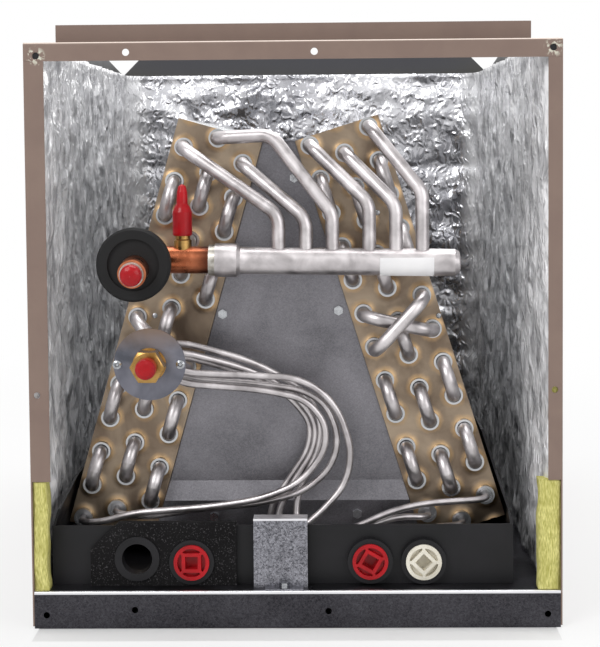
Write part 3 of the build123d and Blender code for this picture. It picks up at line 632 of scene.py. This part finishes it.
@dataclass(frozen=True)
class CrumpledFoil(Finish):
    """Thin foil glued over wool: sharp creases on two scales."""

    crease_scale: float = 38.0
    crease_depth: float = 8.0 * MM
    fine_scale: float = 150.0
    fine_depth: float = 2.6 * MM
    fine_stretch: tuple[float, float, float] = (1.0, 2.2, 0.8)
    streak_scale: float = 80.0
    streak_stretch: tuple[float, float, float] = (1.0, 1.0, 0.35)
    streak_edge: tuple[float, float] = (0.4, 0.52)
    side_from: tuple[float, float] = (150.0 * MM, 163.0 * MM)
    side_metallic: float = 0.18
    # Painted light and shade on the side walls: a lighter tone, broken by upright streaks of darker painted
    # crease shade.
    side_painted_shade: Colour = (0.6, 0.6, 0.62, 1.0)
    side_painted_light: Colour = (0.98, 0.98, 1.0, 1.0)

    def _side(self, graph: Graph, to: tuple[float, float]) -> Socket:
        """From one value on the rear wall to another on the side walls."""
        x, _, _ = graph.split(graph.place())
        return graph.spread(graph.math("ABSOLUTE", x), self.side_from[0], self.side_from[1], to)

    def colour(self, graph: Graph, patches: Socket) -> Socket:
        """Foil, with painted light on the side walls: a lighter tone with upright streaks of painted crease
        light and shade.
        """
        base = graph.mix(patches, self.dark, self.light)
        drawn = graph.stretch(graph.place(), self.streak_stretch)
        painted_crease_streaks = graph.spread(graph.noise(drawn, self.streak_scale, detail=6.0), *self.streak_edge)
        # Painted light and shade: the side walls are lighter, with streaks standing in for the creases'
        # light and shade.
        side = graph.mix(painted_crease_streaks, self.side_painted_shade, self.side_painted_light)
        return graph.mix(self._side(graph, (0.0, 1.0)), base, side)

    def metal(self, graph: Graph) -> object:
        """Less of a mirror on the side walls, where the creases scatter the light."""
        return self._side(graph, (self.metallic, self.side_metallic))

    def normal(self, graph: Graph) -> Socket:
        """Broad creases with finer wrinkles over them."""
        place = graph.place()
        drawn = graph.stretch(place, self.fine_stretch)
        broad = graph.noise(place, self.crease_scale, 5.0, "RIDGED_MULTIFRACTAL", distortion=0.35)
        fine = graph.noise(drawn, self.fine_scale, 4.0, "RIDGED_MULTIFRACTAL", distortion=0.5)
        under = graph.bump(fine, 1.0, self.fine_depth)
        return graph.bump(broad, 1.0, self.crease_depth, under)


@dataclass(frozen=True)
class GlassWool(Finish):
    """Yellow-green fibres that run mostly up and down."""

    strand_scale: tuple[float, float, float] = (1500.0, 1500.0, 240.0)
    strand_edge: tuple[float, float] = (0.35, 0.68)
    strand_depth: float = 0.4 * MM
    shade: tuple[float, float] = (0.45, 1.0)

    def _strands(self, graph: Graph) -> Socket:
        """Height of the fibres."""
        return graph.noise(graph.stretch(graph.place(), self.strand_scale), 1.0, detail=5.0)

    def colour(self, graph: Graph, patches: Socket) -> Socket:
        """Pale strands over darker wool."""
        strands = graph.spread(self._strands(graph), *self.strand_edge)
        shade = graph.spread(patches, 0.0, 1.0, self.shade)
        return graph.mix(graph.times(strands, shade), self.dark, self.light)

    def normal(self, graph: Graph) -> Socket:
        """Fibres standing out."""
        return graph.bump(self._strands(graph), 1.0, self.strand_depth)


@dataclass(frozen=True)
class BandedMetal(Finish):
    """Metal with a tint that sets in along one axis, as heat or flux leaves it."""

    tint: Colour = (0.1, 0.05, 0.03, 1.0)
    axis: int = 0
    start: float = 0.0
    end: float = 1.0
    ragged: float = 5.0 * MM
    ragged_scale: float = 160.0

    def colour(self, graph: Graph, patches: Socket) -> Socket:
        """The metal, tinted between start and end."""
        base = graph.mix(patches, self.dark, self.light)
        along = graph.split(graph.place())[self.axis]
        wobble = graph.times(graph.noise(graph.place(), self.ragged_scale), self.ragged)
        band = graph.spread(graph.plus(along, wobble), self.start, self.end)
        return graph.mix(band, base, self.tint)


@dataclass(frozen=True)
class SpeckledFoam(Finish):
    """Black closed-cell foam with pin pricks of light."""

    speck_scale: float = 1100.0
    speck_edge: tuple[float, float] = (0.6, 0.72)

    def colour(self, graph: Graph, patches: Socket) -> Socket:
        """Black with small grey specks."""
        specks = graph.spread(graph.noise(graph.place(), self.speck_scale, detail=2.0), *self.speck_edge)
        return graph.mix(specks, self.dark, self.light)


# ---------------------------------------------------------------- pieces


def register(piece: Object) -> Object:
    """Let a piece ride on the only body.

    Args:
        piece: The finished piece, with its place in its mesh.

    Returns:
        The piece.
    """
    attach(piece, "root")
    LOG.info("made %s with %d faces", piece.name, len(piece.data.polygons))
    return piece


def to_object(mesh: BMesh, name: str, materials: list[Material], smooth: bool = True) -> Object:
    """Turn a bmesh into an object at the origin.

    Args:
        mesh: The shape, in metres and in place. It is freed.
        name: The object's name.
        materials: Its materials, in the order of the faces' indices.
        smooth: Whether its faces are shaded smooth.

    Returns:
        The new object.
    """
    data = bpy.data.meshes.new(name)
    mesh.to_mesh(data)
    mesh.free()
    for material in materials:
        data.materials.append(material)
    data.polygons.foreach_set("use_smooth", [smooth] * len(data.polygons))
    piece = bpy.data.objects.new(name, data)
    bpy.context.scene.collection.objects.link(piece)
    return piece


@dataclass
class FoilLining:
    """Foil-faced glass wool on the two side walls and the rear wall, in one bent blanket."""

    foil: Material
    wool: Material
    left_wall: float = 9.4 * MM
    right_wall: float = 14.5 * MM
    rear_wall: float = 10.0 * MM
    corner: float = 25.0 * MM
    step: float = 4.0 * MM
    sink: float = 7.0 * MM
    turn_in: float = 4.2 * MM
    bare_top: float = 101.0 * MM
    tucks: tuple[float, ...] = (389.0 * MM, 307.0 * MM, 216.0 * MM, 125.0 * MM)
    tuck_reach: tuple[float, float] = (10.0 * MM, 5.0 * MM)
    tuck_wander: float = 7.0 * MM
    tuck_sway: float = 13.0
    tuck_depth: float = 0.75
    tuck_flattens: tuple[float, float] = (0.8, 0.5)
    side_stretch: tuple[float, float, float] = (1.0, 2.0, 0.75)
    rear_stretch: tuple[float, float, float] = (0.8, 1.0, 1.0)
    warp: float = 0.012
    warp_scale: float = 30.0
    broad_scale: float = 15.0
    fold_scale: float = 46.0
    fine_scale: float = 120.0
    crease_shares: tuple[float, float, float] = (0.5, 0.36, 0.14)
    edge_steps: float = 2.2
    low: Vector = field(default_factory=Vector)
    high: Vector = field(default_factory=Vector)

    def __post_init__(self) -> None:
        """Take the outer faces from the plain lining in the frame."""
        self.low, self.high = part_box("insulation_blanket")

    def _legs(self) -> list[float]:
        """Lengths of the left leg, corner, rear leg, corner and right leg."""
        side = self.high.y - self.rear_wall - self.corner - self.low.y
        rear = (self.high.x - self.right_wall) - (self.low.x + self.left_wall) - 2 * self.corner
        turn = self.corner * math.pi / 2
        return [side, turn, rear, turn, side]

    def _section(self, run: float) -> tuple[Vector, Vector, float]:
        """Where the blanket is after a run along its inner face.

        Args:
            run: Length from the left front edge.

        Returns:
            The inner point, the direction into the wool and the wool's thickness there.
        """
        side, turn, rear, _, _ = self._legs()
        left = self.low.x + self.left_wall
        right = self.high.x - self.right_wall
        back = self.high.y - self.rear_wall
        if run <= side:
            return Vector((left, self.low.y + run, 0)), Vector((-1, 0, 0)), self.left_wall
        run -= side
        if run <= turn:
            centre = Vector((left + self.corner, back - self.corner, 0))
            return self._bend(centre, run / self.corner, -1, self.left_wall)
        run -= turn
        if run <= rear:
            return Vector((left + self.corner + run, back, 0)), Vector((0, 1, 0)), self.rear_wall
        run -= rear
        if run <= turn:
            centre = Vector((right - self.corner, back - self.corner, 0))
            return self._bend(centre, math.pi / 2 - run / self.corner, 1, self.right_wall)
        run -= turn
        return Vector((right, back - self.corner - run, 0)), Vector((1, 0, 0)), self.right_wall

    def _bend(self, centre: Vector, angle: float, side: int, wall: float) -> tuple[Vector, Vector, float]:
        """One point of a rounded corner, whose wool fills the square corner of the casing.

        Args:
            centre: The corner's centre.
            angle: The turn from the side wall towards the rear wall.
            side: -1 for the left corner and 1 for the right one.
            wall: The wool's thickness on that side wall.

        Returns:
            The inner point, the direction into the wool and the wool's thickness there.
        """
        out = Vector((side * math.cos(angle), math.sin(angle), 0))
        to_side = (self.corner + wall) / max(math.cos(angle), TINY)
        to_rear = (self.corner + self.rear_wall) / max(math.sin(angle), TINY)
        return centre + out * self.corner, out, min(to_side, to_rear) - self.corner

    def _tuck(self, at: Vector) -> float:
        """1 in a level tuck of the foil and 0 away from one; the tucks wander a little."""
        wander = self.tuck_wander * noise.noise(Vector((at.x * self.tuck_sway, 2.0, 0.0)))
        above, below = self.tuck_reach
        deepest = 0.0
        for height in self.tucks:
            off = at.z + wander - height
            reach = above if off > 0 else below
            deepest = max(deepest, math.exp(-((off / reach) ** 2)))
        return deepest

    @staticmethod
    def _ridge(at: Vector, scale: float, steep: float) -> float:
        """Height of sharp-edged ridges, 1 along their crests."""
        return 1.0 - steep * abs(noise.noise(at * scale))

    def _crumple(self, at: Vector, out: Vector) -> float:
        """Depth of the creases at a place, from 0 to 1; they run upwards on the side walls.

        Args:
            at: The place on the flat foil.
            out: The direction into the wool there.

        Returns:
            The depth's share of the deepest crease.
        """
        side_wall = abs(out.x) > 0.9
        stretch = self.side_stretch if side_wall else self.rear_stretch
        drawn = Vector((at.x * stretch[0], at.y * stretch[1], at.z * stretch[2]))
        warped = drawn + noise.noise_vector(drawn * self.warp_scale) * self.warp
        broad = self._ridge(warped, self.broad_scale, 1.8)
        folds = 1.0 - 2.0 * abs(noise.noise(warped * self.fold_scale + Vector((4.0, 1.0, 7.0))))
        fine = self._ridge(warped, self.fine_scale, 2.0)
        tuck = 0.0 if side_wall else self._tuck(at)
        broad_share, fold_share, fine_share = self.crease_shares
        creases = max(0.0, broad_share * broad + fold_share * folds + fine_share * fine)
        flat, flatter = self.tuck_flattens
        return min(1.0, creases * (flat - flatter * tuck) + self.tuck_depth * tuck)

    def _rounding(self, from_edge: float, up: float) -> float:
        """How far the foil turns into the wool near its front edges, above the bare wool."""
        share = max(0.0, 1.0 - from_edge / (self.edge_steps * self.step))
        return self.turn_in * share * share if up > self.bare_top else 0.0

    def build(self) -> Object:
        """Build the blanket.

        Returns:
            The piece, which stands for the plain lining.
        """
        length = sum(self._legs())
        height = self.high.z - self.low.z
        columns = round(length / self.step)
        rows = round(height / self.step)
        mesh = bmesh.new()
        bmesh.ops.create_grid(mesh, x_segments=columns, y_segments=rows, size=0.5)
        inner = list(mesh.verts)
        places = {}
        for vert in inner:
            run = (vert.co.x + 0.5) * length
            up = self.low.z + (vert.co.y + 0.5) * height
            places[vert] = (run, up)
        skin = list(mesh.faces)
        grown = bmesh.ops.extrude_face_region(mesh, geom=skin, use_keep_orig=True)
        outer = [item for item in grown["geom"] if isinstance(item, bmesh.types.BMVert)]
        for vert in outer:
            run = (vert.co.x + 0.5) * length
            up = self.low.z + (vert.co.y + 0.5) * height
            point, out, wall = self._section(run)
            vert.co = Vector((point.x, point.y, up)) + out * wall
        for vert in inner:
            run, up = places[vert]
            point, out, _ = self._section(run)
            at = Vector((point.x, point.y, up))
            depth = self.sink * self._crumple(at, out) + self._rounding(min(run, length - run), up)
            vert.co = at + out * depth
        bmesh.ops.recalc_face_normals(mesh, faces=list(mesh.faces))
        inside = set(inner)
        for face in mesh.faces:
            face.material_index = 0 if all(vert in inside for vert in face.verts) else 1
        piece = to_object(mesh, "foil_lining", [self.foil, self.wool])
        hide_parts("insulation_blanket")
        return register(piece)


@dataclass
class WoolEdge:
    """Bare glass wool that puffs out of the lining's front edge below the casing's return flange."""

    name: str
    material: Material
    low: Vector
    high: Vector
    seed: float
    step: float = 1.6 * MM
    lump: float = 2.0 * MM
    lump_scale: float = 55.0
    rounding: float = 0.16

    @staticmethod
    def _rise(edge: bmesh.types.BMEdge) -> float:
        """How far an edge climbs."""
        return abs((edge.verts[0].co - edge.verts[1].co).z)

    def build(self) -> Object:
        """Build one puffed edge.

        Returns:
            The piece.
        """
        size = self.high - self.low
        middle = (self.high + self.low) / 2
        block = Matrix.Translation(middle) @ Matrix.Diagonal((*size, 1.0))
        mesh = bmesh.new()
        bmesh.ops.create_cube(mesh, size=1.0, matrix=block)
        bmesh.ops.subdivide_edges(mesh, edges=list(mesh.edges), cuts=3, use_grid_fill=True)
        upright = [edge for edge in mesh.edges if self._rise(edge) > 5 * self.step]
        cuts = round(size.z / 4 / self.step)
        bmesh.ops.subdivide_edges(mesh, edges=upright, cuts=cuts, use_grid_fill=True)
        for vert in mesh.verts:
            away = vert.co - middle
            rounded = Vector((away.x / (size.x / 2), away.y / (size.y / 2), 0))
            pull = 1.0 - self.rounding * max(0.0, rounded.length - 1.0)
            sway = noise.noise_vector(vert.co * self.lump_scale + Vector((self.seed, 0, 0))) * self.lump
            pulled = Vector((middle.x + away.x * pull, middle.y + away.y * pull, vert.co.z))
            vert.co = pulled + Vector((sway.x, sway.y, 0))
            vert.co = Vector(min(max(vert.co[i], self.low[i]), self.high[i]) for i in range(3))
        bmesh.ops.recalc_face_normals(mesh, faces=list(mesh.faces))
        piece = to_object(mesh, self.name, [self.material])
        return register(piece)


@dataclass
class SheetRivets:
    """Small bright rivets on the front tube sheets."""

    material: Material
    places: list[Vector]
    radius: float = 2.0 * MM
    height: float = 0.7 * MM

    def build(self) -> Object:
        """Build every rivet head in one piece.

        Returns:
            The piece.
        """
        mesh = bmesh.new()
        lying = Euler((math.pi / 2, 0, 0)).to_matrix().to_4x4()
        flat = Matrix.Diagonal((1, 1, self.height / self.radius, 1))
        for place in self.places:
            matrix = Matrix.Translation(place) @ lying @ flat
            bmesh.ops.create_uvsphere(mesh, u_segments=20, v_segments=10, radius=self.radius, matrix=matrix)
        return register(to_object(mesh, "sheet_rivets", [self.material]))


# ---------------------------------------------------------------- coil and casing finishes


@dataclass
class CoilCasing:
    """Gives every solid of the frame its finish and adds the soft and small pieces."""

    nodes: dict[str, Object]
    skin: float = 0.6 * MM
    return_flange: float = 26.0 * MM
    slab_length: float = 304.8 * MM
    edge_margin: float = 9.3 * MM
    row_pitch: float = 22.0 * MM
    tube_pitch: float = 25.4 * MM
    left_lean: float = 15.88
    right_lean: float = 17.31
    no_tube: dict[str, tuple[tuple[int, int], ...]] = field(
        default_factory=lambda: {"left": ((2, 6), (0, 7)), "right": ()}
    )
    zinc: dict[str, float] = field(
        default_factory=lambda: {"metallic": 1.0, "grain_scale": 700.0, "grain_depth": 0.01 * MM}
    )
    # Corner screw holes of the front rail: painted shade inside them and chipped paint round them.
    corner_holes: tuple[tuple[float, float], ...] = ((-171.8, 8.0), (173.9, 5.3))
    edge_foot: float = 0.4 * MM
    edge_front: float = 1.2 * MM
    edge_back: float = 12.0 * MM
    edge_inner: float = 1.0 * MM
    edge_outer: float = 0.3 * MM
    rivets: tuple[tuple[float, float], ...] = ((-103.0, 205.6), (58.4, 279.1), (102.3, 204.2))

    def slab(self, side: str) -> SlabPlace:
        """Place of the left or right slab, from its tube sheet's box."""
        low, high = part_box(side + "_front_tube_sheet")
        lean = math.radians(self.left_lean if side == "left" else self.right_lean)
        run = self.slab_length * math.sin(lean)
        quarter = self.tube_pitch / 4
        return SlabPlace(
            side=-1.0 if side == "left" else 1.0,
            top_x=low.x + run if side == "left" else high.x - run,
            top_z=high.z,
            lean=lean,
            first=3 * quarter if side == "left" else quarter,
            margin=self.edge_margin,
            row_pitch=self.row_pitch,
            pitch=self.tube_pitch,
        )

    def room(self) -> tuple[float, float, float]:
        """Half the width and the front and back of the space within the casing's sheet."""
        low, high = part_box("casing_wrapper")
        return high.x - self.skin, low.y + self.return_flange, high.y - self.skin

    def casing_sheets(self) -> dict[str, Finish]:
        """Finishes of the casing, the deck, the plates and the bracket."""
        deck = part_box("base_deck")[1]
        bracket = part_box("pan_bracket")[1]
        case_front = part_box("casing_wrapper")[0].y
        rail_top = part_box("insulation_blanket")[1].z + 0.2 * MM
        return {
            "paint": Painted(
                "taupe paint",
                srgb(126, 107, 98),
                srgb(131, 112, 102),
                gloss=(0.36, 0.42),
                patch_scale=45.0,
                grain_scale=1100.0,
                grain_depth=0.05 * MM,
                specular=0.35,
                inner_coat=srgb(72, 72, 77),
                room=self.room(),
                holes=tuple((x * MM, rail_top - below * MM) for x, below in self.corner_holes),
                # Painted highlight: a cream band along the front rail's bent top edge, in place of the
                # light that the bend catches.
                painted_highlight_band=(rail_top, rail_top + 1.6 * MM, case_front + 3 * MM),
                painted_highlight_tone=srgb(214, 198, 186),
            ),
            "galvanised": Galvanised(
                "mottled zinc",
                srgb(52, 52, 56),
                srgb(170, 170, 176),
                gloss=(0.28, 0.5),
                spangle_share=0.7,
                **self.zinc,
            ),
            "deck": Galvanised(
                "dark mottled zinc",
                srgb(34, 33, 37),
                srgb(84, 83, 88),
                gloss=(0.3, 0.5),
                spangle_scale=950.0,
                spangle_share=0.75,
                # Painted highlight: a pale band along the deck's bent front edge, in place of the light
                # that the bend catches.
                painted_highlight_band=(deck.z - 2.2 * MM, deck.z + 1 * MM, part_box("base_deck")[0].y + 2.5 * MM),
                painted_highlight_tone=srgb(226, 226, 229),
                **self.zinc,
            ),
            "bracket": Galvanised(
                "coarse zinc",
                srgb(44, 44, 49),
                srgb(176, 176, 184),
                gloss=(0.28, 0.46),
                spangle_scale=800.0,
                spangle_share=0.85,
                # Painted highlight: a pale band along the bracket's bent top edge, in place of the light
                # that the bend catches.
                painted_highlight_band=(bracket.z - 1.6 * MM, bracket.z + 1 * MM, bracket.y),
                painted_highlight_tone=srgb(232, 232, 235),
                **self.zinc,
            ),
            "plate": Galvanised(
                "dull zinc",
                srgb(92, 91, 95),
                srgb(142, 140, 145),
                gloss=(0.3, 0.42),
                spangle_scale=1100.0,
                spangle_share=0.5,
                metallic=1.0,
                grain_scale=650.0,
                grain_depth=0.11 * MM,
            ),
        }

    def circuit_metals(self) -> dict[str, Finish]:
        """Finishes of the tubes, fittings and screws."""
        nut_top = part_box("liquid_line_nut")[1].z
        copper_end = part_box("copper_suction_tube")[1].x
        return {
            "tubes": Finish(
                "drawn aluminium",
                srgb(164, 159, 160),
                srgb(210, 205, 206),
                metallic=0.9,
                gloss=(0.3, 0.46),
                patch_scale=60.0,
            ),
            "braze": Finish(
                "braze metal",
                srgb(150, 146, 138),
                srgb(205, 202, 195),
                metallic=1.0,
                gloss=(0.3, 0.5),
                patch_scale=180.0,
            ),
            "brass": Finish(
                "brass",
                srgb(140, 104, 56),
                srgb(182, 146, 88),
                metallic=1.0,
                gloss=(0.2, 0.34),
                patch_scale=90.0,
            ),
            "steel": BandedMetal(
                "blued steel",
                srgb(84, 86, 94),
                srgb(124, 124, 134),
                metallic=0.9,
                gloss=(0.3, 0.42),
                patch_scale=40.0,
                tint=srgb(128, 108, 92),
                axis=2,
                start=nut_top,
                end=nut_top + 18 * MM,
            ),
            "copper": BandedMetal(
                "heat-stained copper",
                srgb(150, 84, 56),
                srgb(196, 122, 88),
                metallic=1.0,
                gloss=(0.24, 0.4),
                patch_scale=70.0,
                tint=srgb(92, 52, 38),
                axis=0,
                start=copper_end - 26 * MM,
                end=copper_end - 16 * MM,
            ),
            "screw": Galvanised(
                "zinc screw",
                srgb(120, 122, 126),
                srgb(206, 208, 211),
                gloss=(0.2, 0.34),
                **self.zinc,
            ),
        }

    @staticmethod
    def plastics() -> dict[str, Finish]:
        """Finishes of the pan, the rubber and foam, the caps, the plugs and the label."""
        return {
            "black plastic": Finish(
                "black plastic",
                srgb(13, 13, 15),
                srgb(27, 26, 29),
                gloss=(0.36, 0.52),
                grain_scale=600.0,
                specular=0.28,
            ),
            "rubber": Finish(
                "black rubber",
                srgb(11, 11, 12),
                srgb(22, 22, 23),
                gloss=(0.5, 0.65),
                specular=0.25,
            ),
            "foam": SpeckledFoam(
                "black foam",
                srgb(14, 13, 14),
                srgb(78, 76, 78),
                gloss=(0.8, 0.95),
                grain_scale=700.0,
                grain_depth=0.12 * MM,
                specular=0.2,
            ),
            "red": Finish(
                "red plastic",
                srgb(150, 8, 18),
                srgb(184, 14, 26),
                gloss=(0.3, 0.4),
                patch_scale=50.0,
                specular=0.22,
                coat=0.12,
            ),
            "white": Finish(
                "off-white plastic",
                srgb(214, 208, 192),
                srgb(238, 233, 219),
                gloss=(0.3, 0.42),
                patch_scale=60.0,
            ),
            "label": Finish("paper label", srgb(220, 219, 221), srgb(238, 237, 238), gloss=(0.5, 0.6)),
        }

    @staticmethod
    def lining() -> dict[str, Finish]:
        """Finishes of the foil and of the wool behind it."""
        return {
            "foil": CrumpledFoil(
                "crumpled foil",
                srgb(176, 176, 181),
                srgb(232, 232, 236),
                metallic=0.85,
                gloss=(0.16, 0.3),
                patch_scale=12.0,
            ),
            "wool": GlassWool(
                "glass wool",
                srgb(172, 167, 88),
                srgb(240, 234, 158),
                gloss=(0.9, 1.0),
                specular=0.2,
                patch_scale=60.0,
            ),
        }

    def slab_metals(self, side: str) -> dict[str, Finish]:
        """Finishes of one slab's fins and tube sheets.

        Args:
            side: Which slab, left or right.

        Returns:
            The two finishes by short name.
        """
        slab = self.slab(side)
        return {
            side + " fins": FinStack(
                side + " fins",
                srgb(176, 178, 180),
                srgb(200, 201, 203),
                metallic=1.0,
                gloss=(0.25, 0.4),
                front=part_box(side + "_front_tube_sheet")[0].y,
                back=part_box(side + "_rear_tube_sheet")[1].y,
            ),
            side + " sheet": TubeSheetCoating(
                side + " tube sheet",
                srgb(112, 97, 83),
                srgb(168, 151, 131),
                metallic=0.92,
                gloss=(0.3, 0.42),
                patch_scale=28.0,
                # Painted highlight round the collars.
                painted_collar_highlight=srgb(206, 168, 118),
                place=slab,
                bare=tuple(slab.tube(*place) for place in self.no_tube[side]),
            ),
        }

    def finishes(self) -> dict[str, Finish]:
        """Every finish, by a short name."""
        every = self.casing_sheets() | self.circuit_metals() | self.plastics() | self.lining()
        return every | self.slab_metals("left") | self.slab_metals("right")

    def finish_of(self, node: str) -> str:
        """Short name of the finish that a solid takes."""
        by_start = {
            "left_fin_pack": "left fins",
            "right_fin_pack": "right fins",
            "left_front_tube_sheet": "left sheet",
            "left_rear_tube_sheet": "left sheet",
            "right_front_tube_sheet": "right sheet",
            "right_rear_tube_sheet": "right sheet",
            "front_delta": "plate",
            "rear_delta": "plate",
            "casing_wrapper": "paint",
            "front_top_rail": "paint",
            "copper_suction": "copper",
            "transition_ring": "braze",
            "suction_stub_ring": "braze",
            "liquid_line_disc": "steel",
            "liquid_line_nut": "brass",
            "schrader_valve": "brass",
            "drain_gasket": "foam",
            "drain_plug_white": "white",
            "drain_plug_red": "red",
            "drain_pan": "black plastic",
            "suction_grommet": "rubber",
            "header_label": "label",
            "apex_strip": "galvanised",
            "base_deck": "deck",
            "pan_bracket": "bracket",
            "insulation": "foil",
        }
        for start, finish in by_start.items():
            if node.startswith(start):
                return finish
        if node.endswith("_cap"):
            return "red"
        if node.endswith(("screw", "screws")):
            return "screw"
        return "tubes"

    def dress(self) -> dict[str, Material]:
        """Give each solid its material.

        Returns:
            The materials by short name.
        """
        materials = {name: finish.build() for name, finish in self.finishes().items()}
        for name, node in self.nodes.items():
            node.data.materials.clear()
            node.data.materials.append(materials[self.finish_of(name)])
            LOG.info("%s is %s", name, self.finish_of(name))
        return materials

    def build(self) -> None:
        """Dress the solids, then add the lining, its bare edges and the rivets."""
        materials = self.dress()
        lining = FoilLining(materials["foil"], materials["wool"])
        lining.build()
        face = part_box("left_front_tube_sheet")[0].y
        places = [Vector((x * MM, face, z * MM)) for x, z in self.rivets]
        SheetRivets(materials["screw"], places).build()
        self.wool_edges(lining, materials["wool"])

    def wool_edges(self, lining: FoilLining, wool: Material) -> None:
        """Add the bare wool at the lining's two front edges.

        Args:
            lining: The lining, already built.
            wool: The wool's material.
        """
        low, high = lining.low, lining.high
        foot = low.z + self.edge_foot
        front = low.y - self.edge_front
        back = low.y + self.edge_back
        left_inner = low.x + lining.left_wall + self.edge_inner
        right_inner = high.x - lining.right_wall - self.edge_inner
        spans = (
            ("left_wool_edge", low.x + self.edge_outer, left_inner, 3.0),
            ("right_wool_edge", right_inner, high.x - self.edge_outer, 8.0),
        )
        for name, left, right, seed in spans:
            lowest = Vector((left, front, foot))
            highest = Vector((right, back, lining.bare_top))
            WoolEdge(name, wool, lowest, highest, seed).build()


# ---------------------------------------------------------------- studio


@dataclass(frozen=True)
class Lamp:
    """One soft lamp that looks at the coil."""

    name: str
    place: tuple[float, float, float]
    size: float
    watts: float

    def build(self, aim: Vector) -> None:
        """Hang the lamp and turn it to aim."""
        data = bpy.data.lights.new(self.name, "AREA")
        data.size = self.size
        data.energy = self.watts
        lamp = bpy.data.objects.new(self.name, data)
        lamp.location = self.place
        lamp.rotation_euler = (aim - Vector(self.place)).to_track_quat("-Z", "Y").to_euler()
        bpy.context.scene.collection.objects.link(lamp)


@dataclass
class Studio:
    """Pale floor, white surroundings, lamps and the camera."""

    camera_place: tuple[float, float, float] = (0.0258, -1.3755, 0.3280)
    yaw: float = 1.103
    pitch: float = -3.435
    roll: float = 0.48
    lens: float = 93.37
    shift: float = -0.12
    sensor: float = 36.0
    world_light: float = 0.3
    floor_radius: float = 60.0
    floor_sink: float = 0.3 * MM
    floor_tone: Colour = (0.86, 0.86, 0.86, 1.0)
    floor_glow: tuple[float, float] = (0.7, 1.0)
    glow_reach: tuple[float, float] = (0.35, 1.3)
    under_inset: float = 4.0 * MM
    aim: tuple[float, float, float] = (0.0, 0.0, 0.2)
    lamps: tuple[Lamp, ...] = (
        Lamp("key", (-1.2, -1.9, 1.7), 1.1, 30.0),
        Lamp("fill", (1.5, -1.8, 0.9), 1.3, 13.0),
        Lamp("top", (0.1, 0.2, 2.2), 1.4, 28.0),
        Lamp("rear", (0.6, 2.0, 1.3), 1.4, 12.0),
    )

    def camera(self) -> None:
        """Place the camera."""
        data = bpy.data.cameras.new("camera")
        data.lens = self.lens
        data.sensor_width = self.sensor
        data.shift_y = self.shift
        camera = bpy.data.objects.new("camera", data)
        turns = ((self.yaw, "Z"), (self.pitch, "X"), (self.roll, "Y"), (90.0, "X"))
        stand = Matrix.Translation(self.camera_place)
        for angle, axis in turns:
            stand = stand @ Matrix.Rotation(math.radians(angle), 4, axis)
        camera.matrix_world = stand
        bpy.context.scene.collection.objects.link(camera)
        bpy.context.scene.camera = camera

    @staticmethod
    def _seen(graph: Graph) -> Socket:
        """1 for rays from the camera, from gloss and through glass."""
        path = graph.add("ShaderNodeLightPath").outputs
        either = graph.math("MAXIMUM", path["Is Camera Ray"], path["Is Glossy Ray"])
        return graph.math("MAXIMUM", either, path["Is Transmission Ray"])

    def surroundings(self) -> None:
        """White where it is seen, softer where it only lights."""
        world = bpy.data.worlds.new("studio")
        world.use_nodes = True
        bpy.context.scene.world = world
        graph = Graph(world.node_tree)
        background = world.node_tree.nodes["Background"]
        background.inputs["Color"].default_value = (1.0, 1.0, 1.0, 1.0)
        strength = graph.spread(self._seen(graph), 0.0, 1.0, (self.world_light, 1.0))
        graph.feed(background.inputs["Strength"], strength)

    def floor(self) -> None:
        """A wide pale floor that keeps the coil's shadow and doesn't glow under the casing."""
        mesh = bmesh.new()
        bmesh.ops.create_circle(mesh, cap_ends=True, segments=96, radius=self.floor_radius)
        material = bpy.data.materials.new("pale floor")
        material.use_nodes = True
        graph = Graph(material.node_tree)
        nodes = material.node_tree.nodes
        shader = nodes["Principled BSDF"]
        shader.inputs["Base Color"].default_value = self.floor_tone
        shader.inputs["Roughness"].default_value = 0.9
        glow = graph.add("ShaderNodeEmission")
        blend = graph.add("ShaderNodeMixShader")
        away = graph.add("ShaderNodeVectorMath", operation="LENGTH")
        graph.feed(away.inputs[0], graph.place())
        x, y, _ = graph.split(graph.place())
        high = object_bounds()[1]
        beyond_x = graph.over(graph.math("ABSOLUTE", x), high.x - self.under_inset)
        beyond_y = graph.over(graph.math("ABSOLUTE", y), high.y - self.under_inset)
        share = graph.spread(away.outputs["Value"], *self.glow_reach, self.floor_glow)
        share = graph.times(share, graph.math("MAXIMUM", beyond_x, beyond_y))
        graph.feed(blend.inputs[0], graph.times(self._seen(graph), share))
        graph.feed(blend.inputs[1], shader.outputs[0])
        graph.feed(blend.inputs[2], glow.outputs[0])
        graph.feed(nodes["Material Output"].inputs["Surface"], blend.outputs[0])
        floor = to_object(mesh, "floor", [material], smooth=False)
        floor.location.z = -self.floor_sink
        floor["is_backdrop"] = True

    def build(self) -> None:
        """Set up the whole studio."""
        self.floor()
        self.surroundings()
        aim = Vector(self.aim)
        for lamp in self.lamps:
            lamp.build(aim)
        self.camera()
        bpy.context.scene.view_settings.view_transform = "Standard"


def main() -> None:
    """Build the dressed coil."""
    logging.basicConfig(level=logging.INFO, format="%(name)s: %(message)s")
    noise.seed_set(NOISE_SEED)
    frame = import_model()
    CoilCasing(frame["nodes"]).build()
    Studio().build()


if __name__ == "__main__":
    main()
